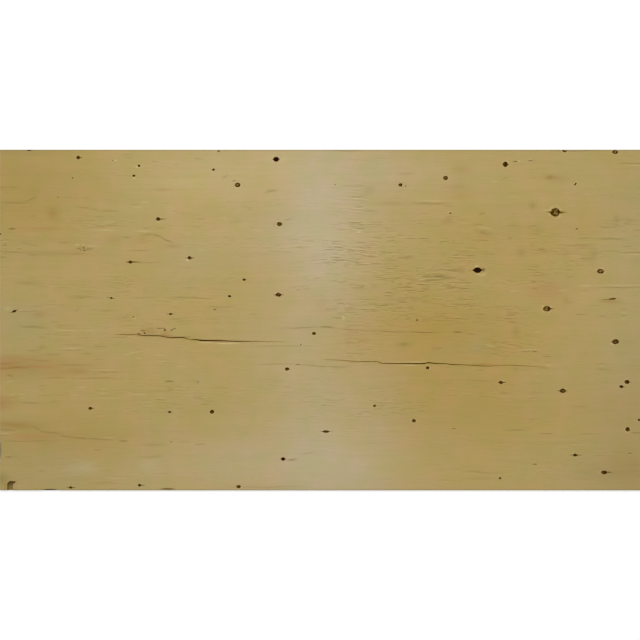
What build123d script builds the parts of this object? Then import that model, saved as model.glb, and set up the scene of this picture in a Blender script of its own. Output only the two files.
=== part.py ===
from build123d import *

import os

# Softwood plywood sheet, five rotary-peeled plies bonded into one solid.
#
# Millimetres. X runs along the face grain, Y across the sheet and Z up. The origin
# is the centre of the back face, on which the sheet lies. Places on the sheet are
# given from its left end and from its near long edge, as a tape would measure them.

# Sheet
sheet_length = 2438.0
sheet_width = 1219.0
ply_thickness = 3.1
ply_count = 5
arris = 0.4

# Plies counted up from the back: the grain of the second and fourth runs across
lower_crossband = 2
core_ply = 3
upper_crossband = 4

# Fallen knots: an eye left by the knot and a pointed check on each side of it
main_hole_from_end = 1711.0
main_hole_from_edge = 788.0
main_hole_eye_length = 27.0
main_hole_eye_width = 20.0
main_hole_check_length = 38.0
main_hole_check_width = 14.0

far_hole_from_end = 990.0
far_hole_from_edge = 1185.0
far_hole_eye_length = 20.0
far_hole_eye_width = 17.0
far_hole_check_length = 26.0
far_hole_check_width = 9.0

near_hole_from_end = 1015.0
near_hole_from_edge = 112.0
near_hole_eye_length = 14.0
near_hole_eye_width = 12.0
near_hole_check_length = 20.0
near_hole_check_width = 7.0

# Drying splits, by stations along them: from the end, from the edge, gap there
left_split_tip = (415.0, 558.0)
left_split_stations = (
    (490.0, 558.0, 1.0),
    (510.0, 554.0, 2.0),
    (570.0, 553.0, 2.0),
    (605.0, 547.0, 2.5),
    (655.0, 547.0, 2.5),
    (680.0, 540.0, 1.0),
    (705.0, 539.0, 3.0),
    (720.0, 536.0, 4.0),
    (795.0, 535.0, 3.5),
    (860.0, 533.0, 2.5),
    (930.0, 533.0, 1.0),
)
left_split_tail = (1015.0, 531.0)

right_split_tip = (1160.0, 469.0)
right_split_stations = (
    (1230.0, 465.0, 1.0),
    (1285.0, 460.0, 1.0),
    (1300.0, 461.0, 1.5),
    (1355.0, 460.0, 1.5),
    (1370.0, 454.0, 2.0),
    (1420.0, 454.0, 2.5),
    (1500.0, 453.0, 3.5),
    (1520.0, 454.0, 3.5),
    (1535.0, 457.0, 3.5),
    (1560.0, 454.0, 3.0),
    (1600.0, 453.0, 2.0),
    (1620.0, 450.0, 2.5),
    (1665.0, 449.0, 1.5),
    (1715.0, 446.0, 1.5),
    (1755.0, 444.0, 1.0),
    (1795.0, 448.0, 1.0),
    (1850.0, 447.0, 1.0),
)
right_split_tail = (1960.0, 441.0)

# Chips knocked out of the face ply at the sawn edges
corner_chip_outline = (
    (28.0, 0.0),
    (28.0, 25.0),
    (36.0, 33.0),
    (57.0, 32.0),
    (56.0, 27.0),
    (49.0, 24.0),
    (47.0, 10.0),
    (50.0, 0.0),
)
near_chip_from_end = 180.0
near_chip_length = 70.0
near_chip_depth = 4.5
left_chip_from_edge = 140.0
left_chip_length = 95.0
left_chip_depth = 3.5

# Open joints between the strips of veneer inside: place along the edge, gap
upper_crossband_joints = ((634.0, 3.5), (1292.0, 2.5), (2021.0, 4.5))
lower_crossband_joints = ((318.0, 2.5), (1087.0, 5.0), (1760.0, 3.0))
core_joints = ((428.0, 3.0), (871.0, 4.0))

# Worked out from the sizes above
sheet_thickness = ply_thickness * ply_count
left_end = -sheet_length / 2
near_edge = -sheet_width / 2


def ply_middle(ply):
    """Height of the middle of a ply, counted up from the back."""
    return (ply - 0.5) * ply_thickness


def face_point(from_end, from_edge):
    """A place on the face, from its distances to the left end and the near edge."""
    return (left_end + from_end, near_edge + from_edge)


def face_plane(from_end, from_edge):
    """The face's plane, with its origin at a place on it."""
    return Plane(origin=(*face_point(from_end, from_edge), sheet_thickness))


def knothole(where, eye_length, eye_width, check_length, check_width):
    """Outline of a fallen knot: its eye over a lens that points along the grain."""
    tip = (check_length / 2, 0)
    tail = (-check_length / 2, 0)
    with BuildSketch(where) as outline:
        Ellipse(eye_length / 2, eye_width / 2)
        with BuildLine():
            SagittaArc(tail, tip, check_width / 2)
            SagittaArc(tip, tail, check_width / 2)
        make_face()
    return outline.sketch


def split(tip, stations, tail):
    """Outline of a split: it opens from its tip, runs straight between stations and closes."""
    far_lip = [face_point(along, across + gap / 2) for along, across, gap in stations]
    near_lip = [face_point(along, across - gap / 2) for along, across, gap in stations]
    lips = [face_point(*tip), *far_lip, face_point(*tail), *reversed(near_lip)]
    with BuildSketch(Plane.XY.offset(sheet_thickness)) as outline:
        with BuildLine():
            Polyline(*lips, close=True)
        make_face()
    return outline.sketch


def edge_chip(where, length, depth):
    """Outline of a splinter torn off along an edge, as a lens centred on that edge."""
    with BuildSketch(where) as outline:
        with BuildLine():
            SagittaArc((-length / 2, 0), (length / 2, 0), depth)
            SagittaArc((length / 2, 0), (-length / 2, 0), depth)
        make_face()
    return outline.sketch


with BuildPart() as plywood_sheet:
    # The trimmed panel, its sawn arrises just broken
    with BuildSketch():
        Rectangle(sheet_length, sheet_width)
    extrude(amount=sheet_thickness)
    chamfer(plywood_sheet.faces().filter_by(Axis.Z).edges(), length=arris)

    # Joints left open in the crossbands run right across and show on both long edges
    with BuildSketch(Plane.XZ.offset(-near_edge)):
        for ply, joints in (
            (upper_crossband, upper_crossband_joints),
            (lower_crossband, lower_crossband_joints),
        ):
            for from_end, gap in joints:
                with Locations((left_end + from_end, ply_middle(ply))):
                    Rectangle(gap, ply_thickness)
    extrude(amount=-sheet_width, mode=Mode.SUBTRACT)

    # Joints in the core run the whole length and show on both ends
    with BuildSketch(Plane.YZ.offset(-left_end)):
        for from_edge, gap in core_joints:
            with Locations((near_edge + from_edge, ply_middle(core_ply))):
                Rectangle(gap, ply_thickness)
    extrude(amount=-sheet_length, mode=Mode.SUBTRACT)

    # Fallen knots go through the face ply, down to the crossband
    main_hole = knothole(
        face_plane(main_hole_from_end, main_hole_from_edge),
        main_hole_eye_length,
        main_hole_eye_width,
        main_hole_check_length,
        main_hole_check_width,
    )
    far_hole = knothole(
        face_plane(far_hole_from_end, far_hole_from_edge),
        far_hole_eye_length,
        far_hole_eye_width,
        far_hole_check_length,
        far_hole_check_width,
    )
    near_hole = knothole(
        face_plane(near_hole_from_end, near_hole_from_edge),
        near_hole_eye_length,
        near_hole_eye_width,
        near_hole_check_length,
        near_hole_check_width,
    )
    for hole in (main_hole, far_hole, near_hole):
        extrude(hole, amount=-ply_thickness, mode=Mode.SUBTRACT)

    # Splits follow the grain and are as deep as the face ply
    left_split = split(left_split_tip, left_split_stations, left_split_tail)
    right_split = split(right_split_tip, right_split_stations, right_split_tail)
    for crack in (left_split, right_split):
        extrude(crack, amount=-ply_thickness, mode=Mode.SUBTRACT)

    # Chips at the near left corner and along the near edge and the left end
    with BuildSketch(Plane.XY.offset(sheet_thickness)):
        with BuildLine():
            Polyline(*[face_point(*corner) for corner in corner_chip_outline], close=True)
        make_face()
    extrude(amount=-ply_thickness, mode=Mode.SUBTRACT)
    near_chip = edge_chip(
        face_plane(near_chip_from_end, 0), near_chip_length, near_chip_depth
    )
    left_chip_place = face_plane(0, left_chip_from_edge).rotated((0, 0, 90))
    left_chip = edge_chip(left_chip_place, left_chip_length, left_chip_depth)
    for chip in (near_chip, left_chip):
        extrude(chip, amount=-ply_thickness, mode=Mode.SUBTRACT)

plywood_sheet.part.label = "plywood_sheet"

os.makedirs("parts", exist_ok=True)
export_step(plywood_sheet.part, "parts/plywood_sheet.step")
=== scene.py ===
# A sheet of softwood plywood lying on its back, seen from straight above.
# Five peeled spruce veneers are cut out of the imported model, and the face is dressed with its
# knots, drying splits, raised grain, stains and chipped edges.
# Places on the sheet are millimetres from its left end and from its near edge.

import logging
import math
from collections.abc import Callable, Iterable, Sequence
from dataclasses import dataclass
from enum import Enum, IntEnum
from functools import partial

import bmesh
import bpy
import numpy as np
from mathutils import Matrix, Vector, kdtree


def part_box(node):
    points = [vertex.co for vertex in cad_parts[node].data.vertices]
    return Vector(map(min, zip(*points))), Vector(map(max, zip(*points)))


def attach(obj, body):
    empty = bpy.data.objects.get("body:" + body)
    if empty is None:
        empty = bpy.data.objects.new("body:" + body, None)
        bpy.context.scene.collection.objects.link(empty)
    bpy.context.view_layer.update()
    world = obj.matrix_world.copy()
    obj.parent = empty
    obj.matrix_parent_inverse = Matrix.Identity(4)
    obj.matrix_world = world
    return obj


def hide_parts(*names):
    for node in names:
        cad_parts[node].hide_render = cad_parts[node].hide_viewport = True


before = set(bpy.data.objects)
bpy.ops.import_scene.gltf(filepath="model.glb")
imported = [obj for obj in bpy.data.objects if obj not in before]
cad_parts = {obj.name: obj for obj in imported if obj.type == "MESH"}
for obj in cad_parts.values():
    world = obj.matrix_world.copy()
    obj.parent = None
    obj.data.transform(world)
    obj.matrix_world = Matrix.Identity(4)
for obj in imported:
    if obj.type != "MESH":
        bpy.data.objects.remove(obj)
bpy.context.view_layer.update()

log = logging.getLogger("plywood_sheet")

Source = bpy.types.Node | bpy.types.NodeSocket  # what can be linked to a node's input
NodeMaker = Callable[..., bpy.types.Node]
Span = tuple[float, float]  # the low and the high end of a range
Colour = tuple[float, float, float, float]

MM = 0.001
BODY = "root"
NODE = "plywood_sheet"

SHEET_LOW, SHEET_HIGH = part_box(NODE)
SHEET_LENGTH = (SHEET_HIGH.x - SHEET_LOW.x) / MM
SHEET_WIDTH = (SHEET_HIGH.y - SHEET_LOW.y) / MM
PLY_COUNT = 5
PLY_THICKNESS = (SHEET_HIGH.z - SHEET_LOW.z) / MM / PLY_COUNT
MARKS_START = 1.3  # the marks' places are read from here, a hair in from the sheet's left end
MERGE_REACH = 0.002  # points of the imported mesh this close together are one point

FINE_REACH = 5.0  # a stain no wider than this is too thin for the veneer's mesh to hold
OUTSIDE = 9.0  # a place well outside a mark, in shares of the mark's own reach
FLAT = 0.9  # a face lies flat when its normal is at least this upright
SHOWN_TILT = 0.5  # a face belongs to the shown side when its normal is at least this upright
MIDDLE = (0.5, 0.5, 0.5)  # what a noise's colour is on average
FACTOR, UNDER, OVER = 0, 6, 7  # the inputs of a Mix node that lays one colour over another


class GrainWay(Enum):
    """The way that a veneer's grain runs."""

    ALONG = "along the sheet"
    ACROSS = "across the sheet"


class Side(IntEnum):
    """The sides of a veneer, numbered as its finishes are."""

    SHOWN = 0
    SAWN = 1
    WALL = 2


class KnotLook(Enum):
    """How a dead knot shows on a peeled veneer."""

    RINGED = "a dark bark ring round a paler heart"
    FLECKED = "dark, with a few paler flecks in its heart"
    DARK = "dark right through"

    @property
    def heart(self) -> float:
        """How much of the paler heart shows, from 0 to 1."""
        return {KnotLook.RINGED: 1.0, KnotLook.FLECKED: 0.35, KnotLook.DARK: 0.0}[self]


class WoodTint(Enum):
    """The shades that softwood veneer takes on, as sRGB hex colours."""

    # Pale sapwood, and also the painted sheen in a band across the middle of the face
    SAPWOOD = "#BDAE8B"
    # Lifted pale fibres, and also painted highlight on the lower lip of a split
    LIFTED = "#DCC894"
    CREAM = "#C8B682"
    GREYED = "#A99A6A"
    HEARTWOOD = "#AA8D49"
    WEATHERED = "#A2895A"
    BLUSH = "#B07E50"
    RUSSET = "#9C733A"
    OLIVE = "#85713F"
    BARK = "#5E421C"
    # Resin, and also painted shade at the bottom of the openings
    RESIN = "#1E0B00"
    DIRT = "#8C7C48"


@dataclass(frozen=True)
class Knot:
    """A dead knot in a veneer, with the dark tails that the peeled grain draws out of it.

    Lengths are in millimetres, tilt in degrees, and strength runs from 0, unseen, to 1, dark.
    """

    from_end: float
    from_edge: float
    length: float
    width: float
    look: KnotLook = KnotLook.DARK
    tail_left: float = 0.0
    tail_right: float = 0.0
    tilt: float = 0.0
    strength: float = 1.0


@dataclass(frozen=True)
class Stain:
    """A soft-edged patch or streak of another colour on a veneer.

    Reaches are in millimetres, tilt in degrees, and strength runs from 0 to 1.
    """

    from_end: float
    from_edge: float
    reach_along: float
    reach_across: float
    tint: WoodTint
    strength: float
    tilt: float = 0.0

    @property
    def fine(self) -> bool:
        """Whether it is too thin for the veneer's mesh to hold, so that the finish draws it."""
        return min(self.reach_along, self.reach_across) <= FINE_REACH


@dataclass(frozen=True)
class TornPatch:
    """A patch of veneer where the knife tore the fibres, so that they show as short dashes.

    Reaches are in millimetres, and strength is how much the dashes lighten and darken the wood.
    """

    from_end: float
    from_edge: float
    reach_along: float
    reach_across: float
    strength: float


def linear(colour: str) -> Colour:
    """Turns an sRGB hex colour into a linear one.

    Args:
        colour: The colour as "#RRGGBB".

    Returns:
        Red, green, blue and an alpha of 1.
    """
    # The numbers are those of the sRGB standard
    shares = [int(colour[start:start + 2], 16) / 255 for start in (1, 3, 5)]
    red, green, blue = (s / 12.92 if s <= 0.04045 else ((s + 0.055) / 1.055) ** 2.4 for s in shares)
    return red, green, blue, 1.0


def add_node(tree: bpy.types.NodeTree, kind: str, sockets: dict, **settings: object) -> bpy.types.Node:
    """Adds a node to a tree with its settings, and fills or links its inputs.

    Args:
        tree: The node tree that gets the node.
        kind: The node's type, without the word ShaderNode before it.
        sockets: What goes into each input, by name or number: a value, an output to link, or a
            node whose first live output is linked.
        settings: The node's own properties.

    Returns:
        The new node.
    """
    node = tree.nodes.new("ShaderNode" + kind)
    for name, value in settings.items():
        setattr(node, name, value)
    for name, value in sockets.items():
        if isinstance(value, bpy.types.Node):
            value = next(output for output in value.outputs if output.enabled)
        if isinstance(value, bpy.types.NodeSocket):
            tree.links.new(value, node.inputs[name])
        else:
            node.inputs[name].default_value = value
    return node


def new_material(name: str) -> tuple[bpy.types.Material, NodeMaker]:
    """Makes an empty node material.

    Args:
        name: The material's name.

    Returns:
        The material, and what adds a node to it.
    """
    material = bpy.data.materials.new(name)
    material.use_nodes = True
    material.node_tree.nodes.clear()
    return material, partial(add_node, material.node_tree)


def place(from_end: float, from_edge: float, height: float = 0.0) -> Vector:
    """Turns a place on the sheet, in millimetres, into metres in the frame.

    Args:
        from_end: Distance from the left end.
        from_edge: Distance from the near edge.
        height: Height over the floor.

    Returns:
        The point in the frame.
    """
    return Vector((SHEET_LOW.x + from_end * MM, SHEET_LOW.y + from_edge * MM, SHEET_LOW.z + height * MM))


def mesh_places(mesh: bpy.types.Mesh) -> np.ndarray:
    """Reads a mesh's points as millimetres from the left end, the near edge and the floor.

    Args:
        mesh: The mesh to read.

    Returns:
        One row of three distances for each point.
    """
    points = np.empty(len(mesh.vertices) * 3)
    mesh.vertices.foreach_get("co", points)
    return (points.reshape(-1, 3) - np.array(SHEET_LOW)) / MM


def mesh_corners(mesh: bpy.types.Mesh) -> tuple[np.ndarray, np.ndarray, np.ndarray]:
    """Reads the corners of a mesh's faces.

    Args:
        mesh: The mesh to read.

    Returns:
        The face that each corner belongs to, each corner's place in millimetres, and the place
        of each face's middle.
    """
    starts, counts = np.empty(len(mesh.polygons), int), np.empty(len(mesh.polygons), int)
    mesh.polygons.foreach_get("loop_start", starts)
    mesh.polygons.foreach_get("loop_total", counts)
    points = np.empty(len(mesh.loops), int)
    mesh.loops.foreach_get("vertex_index", points)
    spots = mesh_places(mesh)[points]
    owner = np.repeat(np.arange(len(mesh.polygons)), counts)
    return owner, spots, np.add.reduceat(spots, starts, axis=0) / counts[:, None]


def offsets(places: np.ndarray, mark: Knot | Stain) -> tuple[np.ndarray, np.ndarray]:
    """Works out how far points lie from a mark, along and across it.

    Args:
        places: Points in millimetres, one row each.
        mark: The knot or stain, which may be tilted.

    Returns:
        Offsets along and across the mark.
    """
    along, across = places[:, 0] - mark.from_end - MARKS_START, places[:, 1] - mark.from_edge
    cosine, sine = math.cos(math.radians(mark.tilt)), math.sin(math.radians(mark.tilt))
    return along * cosine + across * sine, across * cosine - along * sine


def claim(nearest: np.ndarray, far: np.ndarray, owner: np.ndarray) -> np.ndarray:
    """Gives a mark the faces that lie nearer to it than to every mark before it.

    Args:
        nearest: How far each face lies from its mark so far, or 1 where it has none, which this
            brings up to date.
        far: How far each face lies from this mark.
        owner: The face that each corner belongs to.

    Returns:
        Whether each corner now belongs to this mark.
    """
    mine = far < nearest
    nearest[mine] = far[mine]
    return mine[owner]


def stained(places: np.ndarray, ground: str, stains: Iterable[Stain]) -> np.ndarray:
    """Lays stains over a ground colour.

    Args:
        places: Points in millimetres, one row each.
        ground: The ground colour as sRGB hex.
        stains: The stains in the order in which they lie.

    Returns:
        One linear colour for each point.
    """
    tone = np.tile(np.array(linear(ground)), (len(places), 1))
    for stain in stains:
        along, across = offsets(places, stain)
        away = (along / stain.reach_along) ** 2 + (across / stain.reach_across) ** 2
        share = stain.strength * np.exp(-away)
        tone += share[:, None] * (np.array(linear(stain.tint.value)) - tone)
    return tone


def store(mesh: bpy.types.Mesh, name: str, kind: str, domain: str, values: np.ndarray) -> None:
    """Stores one value for each point or face corner of a mesh.

    Args:
        mesh: The mesh that gets the attribute.
        name: The attribute's name.
        kind: FLOAT, FLOAT_VECTOR or FLOAT_COLOR.
        domain: POINT or CORNER.
        values: The values, one row each.
    """
    attribute = mesh.attributes.new(name, kind, domain)
    slot = {"FLOAT": "value", "FLOAT_VECTOR": "vector", "FLOAT_COLOR": "color"}[kind]
    attribute.data.foreach_set(slot, np.ascontiguousarray(values, dtype=np.float32).ravel())


def finish_piece(name: str, mesh: bpy.types.Mesh,
                 materials: Sequence[bpy.types.Material]) -> bpy.types.Object:
    """Puts a mesh in the scene as a piece of the sheet.

    Args:
        name: The piece's name.
        mesh: Its mesh, in place.
        materials: Its finishes, by material index.

    Returns:
        The piece.
    """
    mesh.name = name
    for material in materials:
        mesh.materials.append(material)
    piece = bpy.data.objects.new(name, mesh)
    bpy.context.scene.collection.objects.link(piece)
    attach(piece, BODY)
    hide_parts(NODE)
    log.info("%s: %d faces", name, len(mesh.polygons))
    return piece


def model_copy() -> bpy.types.Object:
    """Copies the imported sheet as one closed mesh, to cut the veneers with.

    Returns:
        The copy, which is taken away once the veneers are cut.
    """
    shape = bmesh.new()
    shape.from_mesh(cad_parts[NODE].data)
    bmesh.ops.remove_doubles(shape, verts=shape.verts, dist=MERGE_REACH * MM)
    mesh = bpy.data.meshes.new("veneer_cutter")
    shape.to_mesh(mesh)
    shape.free()
    cutter = bpy.data.objects.new("veneer_cutter", mesh)
    bpy.context.scene.collection.objects.link(cutter)
    return cutter


@dataclass(frozen=True)
class Pattern:
    """A noise drawn out along the grain.

    Length and width are those of one streak in millimetres, detail counts the octaves of finer
    streaks in it, and depth is how much it darkens and lightens the wood.
    """

    length: float
    width: float
    detail: float
    depth: float = 0.0

    def draw(self, add: NodeMaker, flow: Source) -> Source:
        """Adds the noise.

        Args:
            add: Adds a node to the finish.
            flow: Where the grain is read, in metres.

        Returns:
            The pattern, from 0 to 1 about 0.5.
        """
        stretch = (1 / (self.length * MM), 1 / (self.width * MM), 1 / (self.width * MM))
        scaled = add("VectorMath", {0: flow, 1: stretch}, operation="MULTIPLY")
        return add("TexNoise", {"Vector": scaled, "Scale": 1.0, "Detail": self.detail})


@dataclass(frozen=True)
class TornFibres:
    """Fibres that the knife tore: short dashes in clumps, each a dark line of painted shade with a pale
    line of painted highlight beside it, as a raised fibre looks under light from one side.

    Sizes are in millimetres. A dash's reach, from the shortest to the longest, is a share of its
    room along the grain. Each layer has a size, as a share of the plain dash, and a start in the
    pattern. Real fibres are a few hundredths of a millimetre thick, so the dashes are drawn as
    coarse as they need to show.
    """

    length: float = 70.0
    room: float = 10.5
    width: float = 2.9
    core_width: float = 0.3
    gap: float = 4.2
    reach: Span = (0.16, 0.52)
    core_reach: float = 0.55
    lean: float = 0.05
    layers: tuple[tuple[float, float], ...] = ((1.0, 0.0), (0.62, 31.7), (1.35, 57.3))
    clumps: Pattern = Pattern(210.0, 42.0, 1.0)
    clump_edge: Span = (0.40, 0.58)
    least_clump: float = 0.35
    missing: Span = (0.80, 0.05)  # the share of dashes left out, in sound wood and in torn wood
    torn_from: float = 0.22
    fade: float = 0.35

    def draw(self, add: NodeMaker, flow: Source) -> Source:
        """Adds the layers of dashes, as strong as the veneer is torn.

        Args:
            add: Adds a node to the finish.
            flow: Where the grain is read, in metres.

        Returns:
            The pattern: under 0 in a dark line, over 0 in a pale one and 0 elsewhere.
        """
        fuzz = add("Attribute", {}, attribute_name="fuzz").outputs["Fac"]
        thin, thick = self.clump_edge
        clumped = add("MapRange", {"Value": self.clumps.draw(add, flow), "From Min": thin, "From Max": thick,
                                   "To Min": self.least_clump}, interpolation_type="SMOOTHSTEP")
        fuzz = add("Math", {0: fuzz, 1: clumped}, operation="MULTIPLY")
        dashes, *more = [self.layer(add, flow, fuzz, size, start) for size, start in self.layers]
        for layer in more:
            dashes = add("Math", {0: dashes, 1: layer}, operation="ADD")
        return dashes

    def layer(self, add: NodeMaker, flow: Source, fuzz: Source, size: float, start: float) -> Source:
        """Adds one layer, with one dash in each cell of a stretched cell pattern.

        Args:
            add: Adds a node to the finish.
            flow: Where the grain is read, in metres.
            fuzz: How strongly the torn fibres show.
            size: The dashes' size, as a share of the plain one.
            start: Where in the pattern the sheet starts, so that the layers differ.

        Returns:
            The layer: under 0 in a dark line, over 0 in a pale one and 0 elsewhere.
        """
        length, room = self.length * size, self.room * size
        stretch = (1 / (length * MM), 1 / (room * MM), 1.0)
        scaled = add("VectorMath", {0: flow, 1: stretch, 2: (start, start, 0.0)}, operation="MULTIPLY_ADD")
        cell = add("TexVoronoi", {"Vector": scaled, "Scale": 1.0}, voronoi_dimensions="2D")
        offset = add("VectorMath", {0: scaled, 1: cell.outputs["Position"]}, operation="SUBTRACT")
        along, across, _ = add("SeparateXYZ", {0: offset}).outputs
        # Three random numbers for each dash: for its length and tilt, for the side of its pale line,
        # and for whether it is left out
        chance = add("SeparateColor", {0: cell.outputs["Color"]}).outputs

        # Along the grain the dash tapers off at both ends
        reach = add("MapRange", {"Value": chance[0], "To Min": self.reach[0], "To Max": self.reach[1]})
        core = add("Math", {0: reach, 1: self.core_reach}, operation="MULTIPLY")
        away = add("Math", {0: along}, operation="ABSOLUTE")
        taper = add("MapRange", {"Value": away, "From Min": reach, "From Max": core},
                    interpolation_type="SMOOTHSTEP")

        # Across the grain it is a dark line of painted shade and a pale one of painted highlight, on a side
        # that chance picks
        tilt = self.lean * length
        lean = add("MapRange", {"Value": chance[0], "To Min": -tilt, "To Max": tilt})
        lean = add("Math", {0: along, 1: lean}, operation="MULTIPLY")
        across = add("Math", {0: across, 1: room, 2: lean}, operation="MULTIPLY_ADD")
        flip = add("Math", {0: chance[1], 1: 0.5}, operation="SUBTRACT")
        flip = add("Math", {0: flip}, operation="SIGN")
        across = add("Math", {0: across, 1: flip}, operation="MULTIPLY")
        lines = []
        for middle in (0.0, self.gap * math.sqrt(size)):
            line = add("Math", {0: across, 1: middle}, operation="SUBTRACT")
            line = add("Math", {0: line}, operation="ABSOLUTE")
            line = add("MapRange", {"Value": line, "From Min": self.width, "From Max": self.core_width},
                       interpolation_type="SMOOTHSTEP")
            lines.append(line)
        dark, pale = lines
        dash = add("Math", {0: pale, 1: dark}, operation="SUBTRACT")
        dash = add("Math", {0: dash, 1: taper}, operation="MULTIPLY")

        # The more the wood is torn, the fewer dashes are left out
        hidden = add("MapRange", {"Value": fuzz, "From Max": self.torn_from, "To Min": self.missing[0],
                                  "To Max": self.missing[1]})
        full = add("Math", {0: hidden, 1: self.fade}, operation="ADD")
        shown = add("MapRange", {"Value": chance[2], "From Min": hidden, "From Max": full})
        shown = add("Math", {0: shown, 1: fuzz}, operation="MULTIPLY")
        return add("Math", {0: dash, 1: shown}, operation="MULTIPLY")


@dataclass(frozen=True)
class ThinStreaks:
    """Thin streaks and smudges, each drawn about its own middle and frayed by the fibres.

    The mesh holds each corner's place in its streak, in shares of the streak's reach. across and
    along go from where the streak is full to where it ends, swing is how far it strays to either
    side, and wander_range and fibre_range are the parts of the two noises that count.
    """

    wander: Pattern = Pattern(70.0, 70.0, 2.0)
    wander_range: Span = (0.3, 0.7)
    swing: Span = (-0.6, 0.6)
    across: Span = (0.1, 1.35)
    along: Span = (0.2, 1.6)
    fibre_range: Span = (0.38, 0.58)
    frayed: Span = (0.6, 1.15)

    def draw(self, add: NodeMaker, wood: Source, flow: Source, fibres: Source) -> Source:
        """Lays the streaks over the wood.

        Args:
            add: Adds a node to the finish.
            wood: The colour of the wood.
            flow: Where the grain is read, in metres.
            fibres: The pattern of the fibres.

        Returns:
            The colour with the streaks.
        """
        spot = add("Attribute", {}, attribute_name="streak_place").outputs["Vector"]
        tint = add("Attribute", {}, attribute_name="streak_tint").outputs["Color"]
        along, across, strength = add("SeparateXYZ", {0: spot}).outputs
        wander = self.wander.draw(add, flow)
        swing = add("MapRange", {"Value": wander, "From Min": self.wander_range[0],
                                 "From Max": self.wander_range[1], "To Min": self.swing[0],
                                 "To Max": self.swing[1]})
        across = add("Math", {0: across, 1: swing}, operation="ADD")
        across = add("Math", {0: across}, operation="ABSOLUTE")
        along = add("Math", {0: along}, operation="ABSOLUTE")
        body = add("MapRange", {"Value": across, "From Min": self.across[1], "From Max": self.across[0]},
                   interpolation_type="SMOOTHSTEP")
        taper = add("MapRange", {"Value": along, "From Min": self.along[1], "From Max": self.along[0]},
                    interpolation_type="SMOOTHSTEP")
        frayed = add("MapRange", {"Value": fibres, "From Min": self.fibre_range[0],
                                  "From Max": self.fibre_range[1], "To Min": self.frayed[0],
                                  "To Max": self.frayed[1]})
        share = add("Math", {0: body, 1: taper}, operation="MULTIPLY")
        share = add("Math", {0: share, 1: frayed}, operation="MULTIPLY")
        share = add("Math", {0: share, 1: strength}, operation="MULTIPLY", use_clamp=True)
        return add("Mix", {FACTOR: share, UNDER: wood, OVER: tint}, data_type="RGBA")


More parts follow.
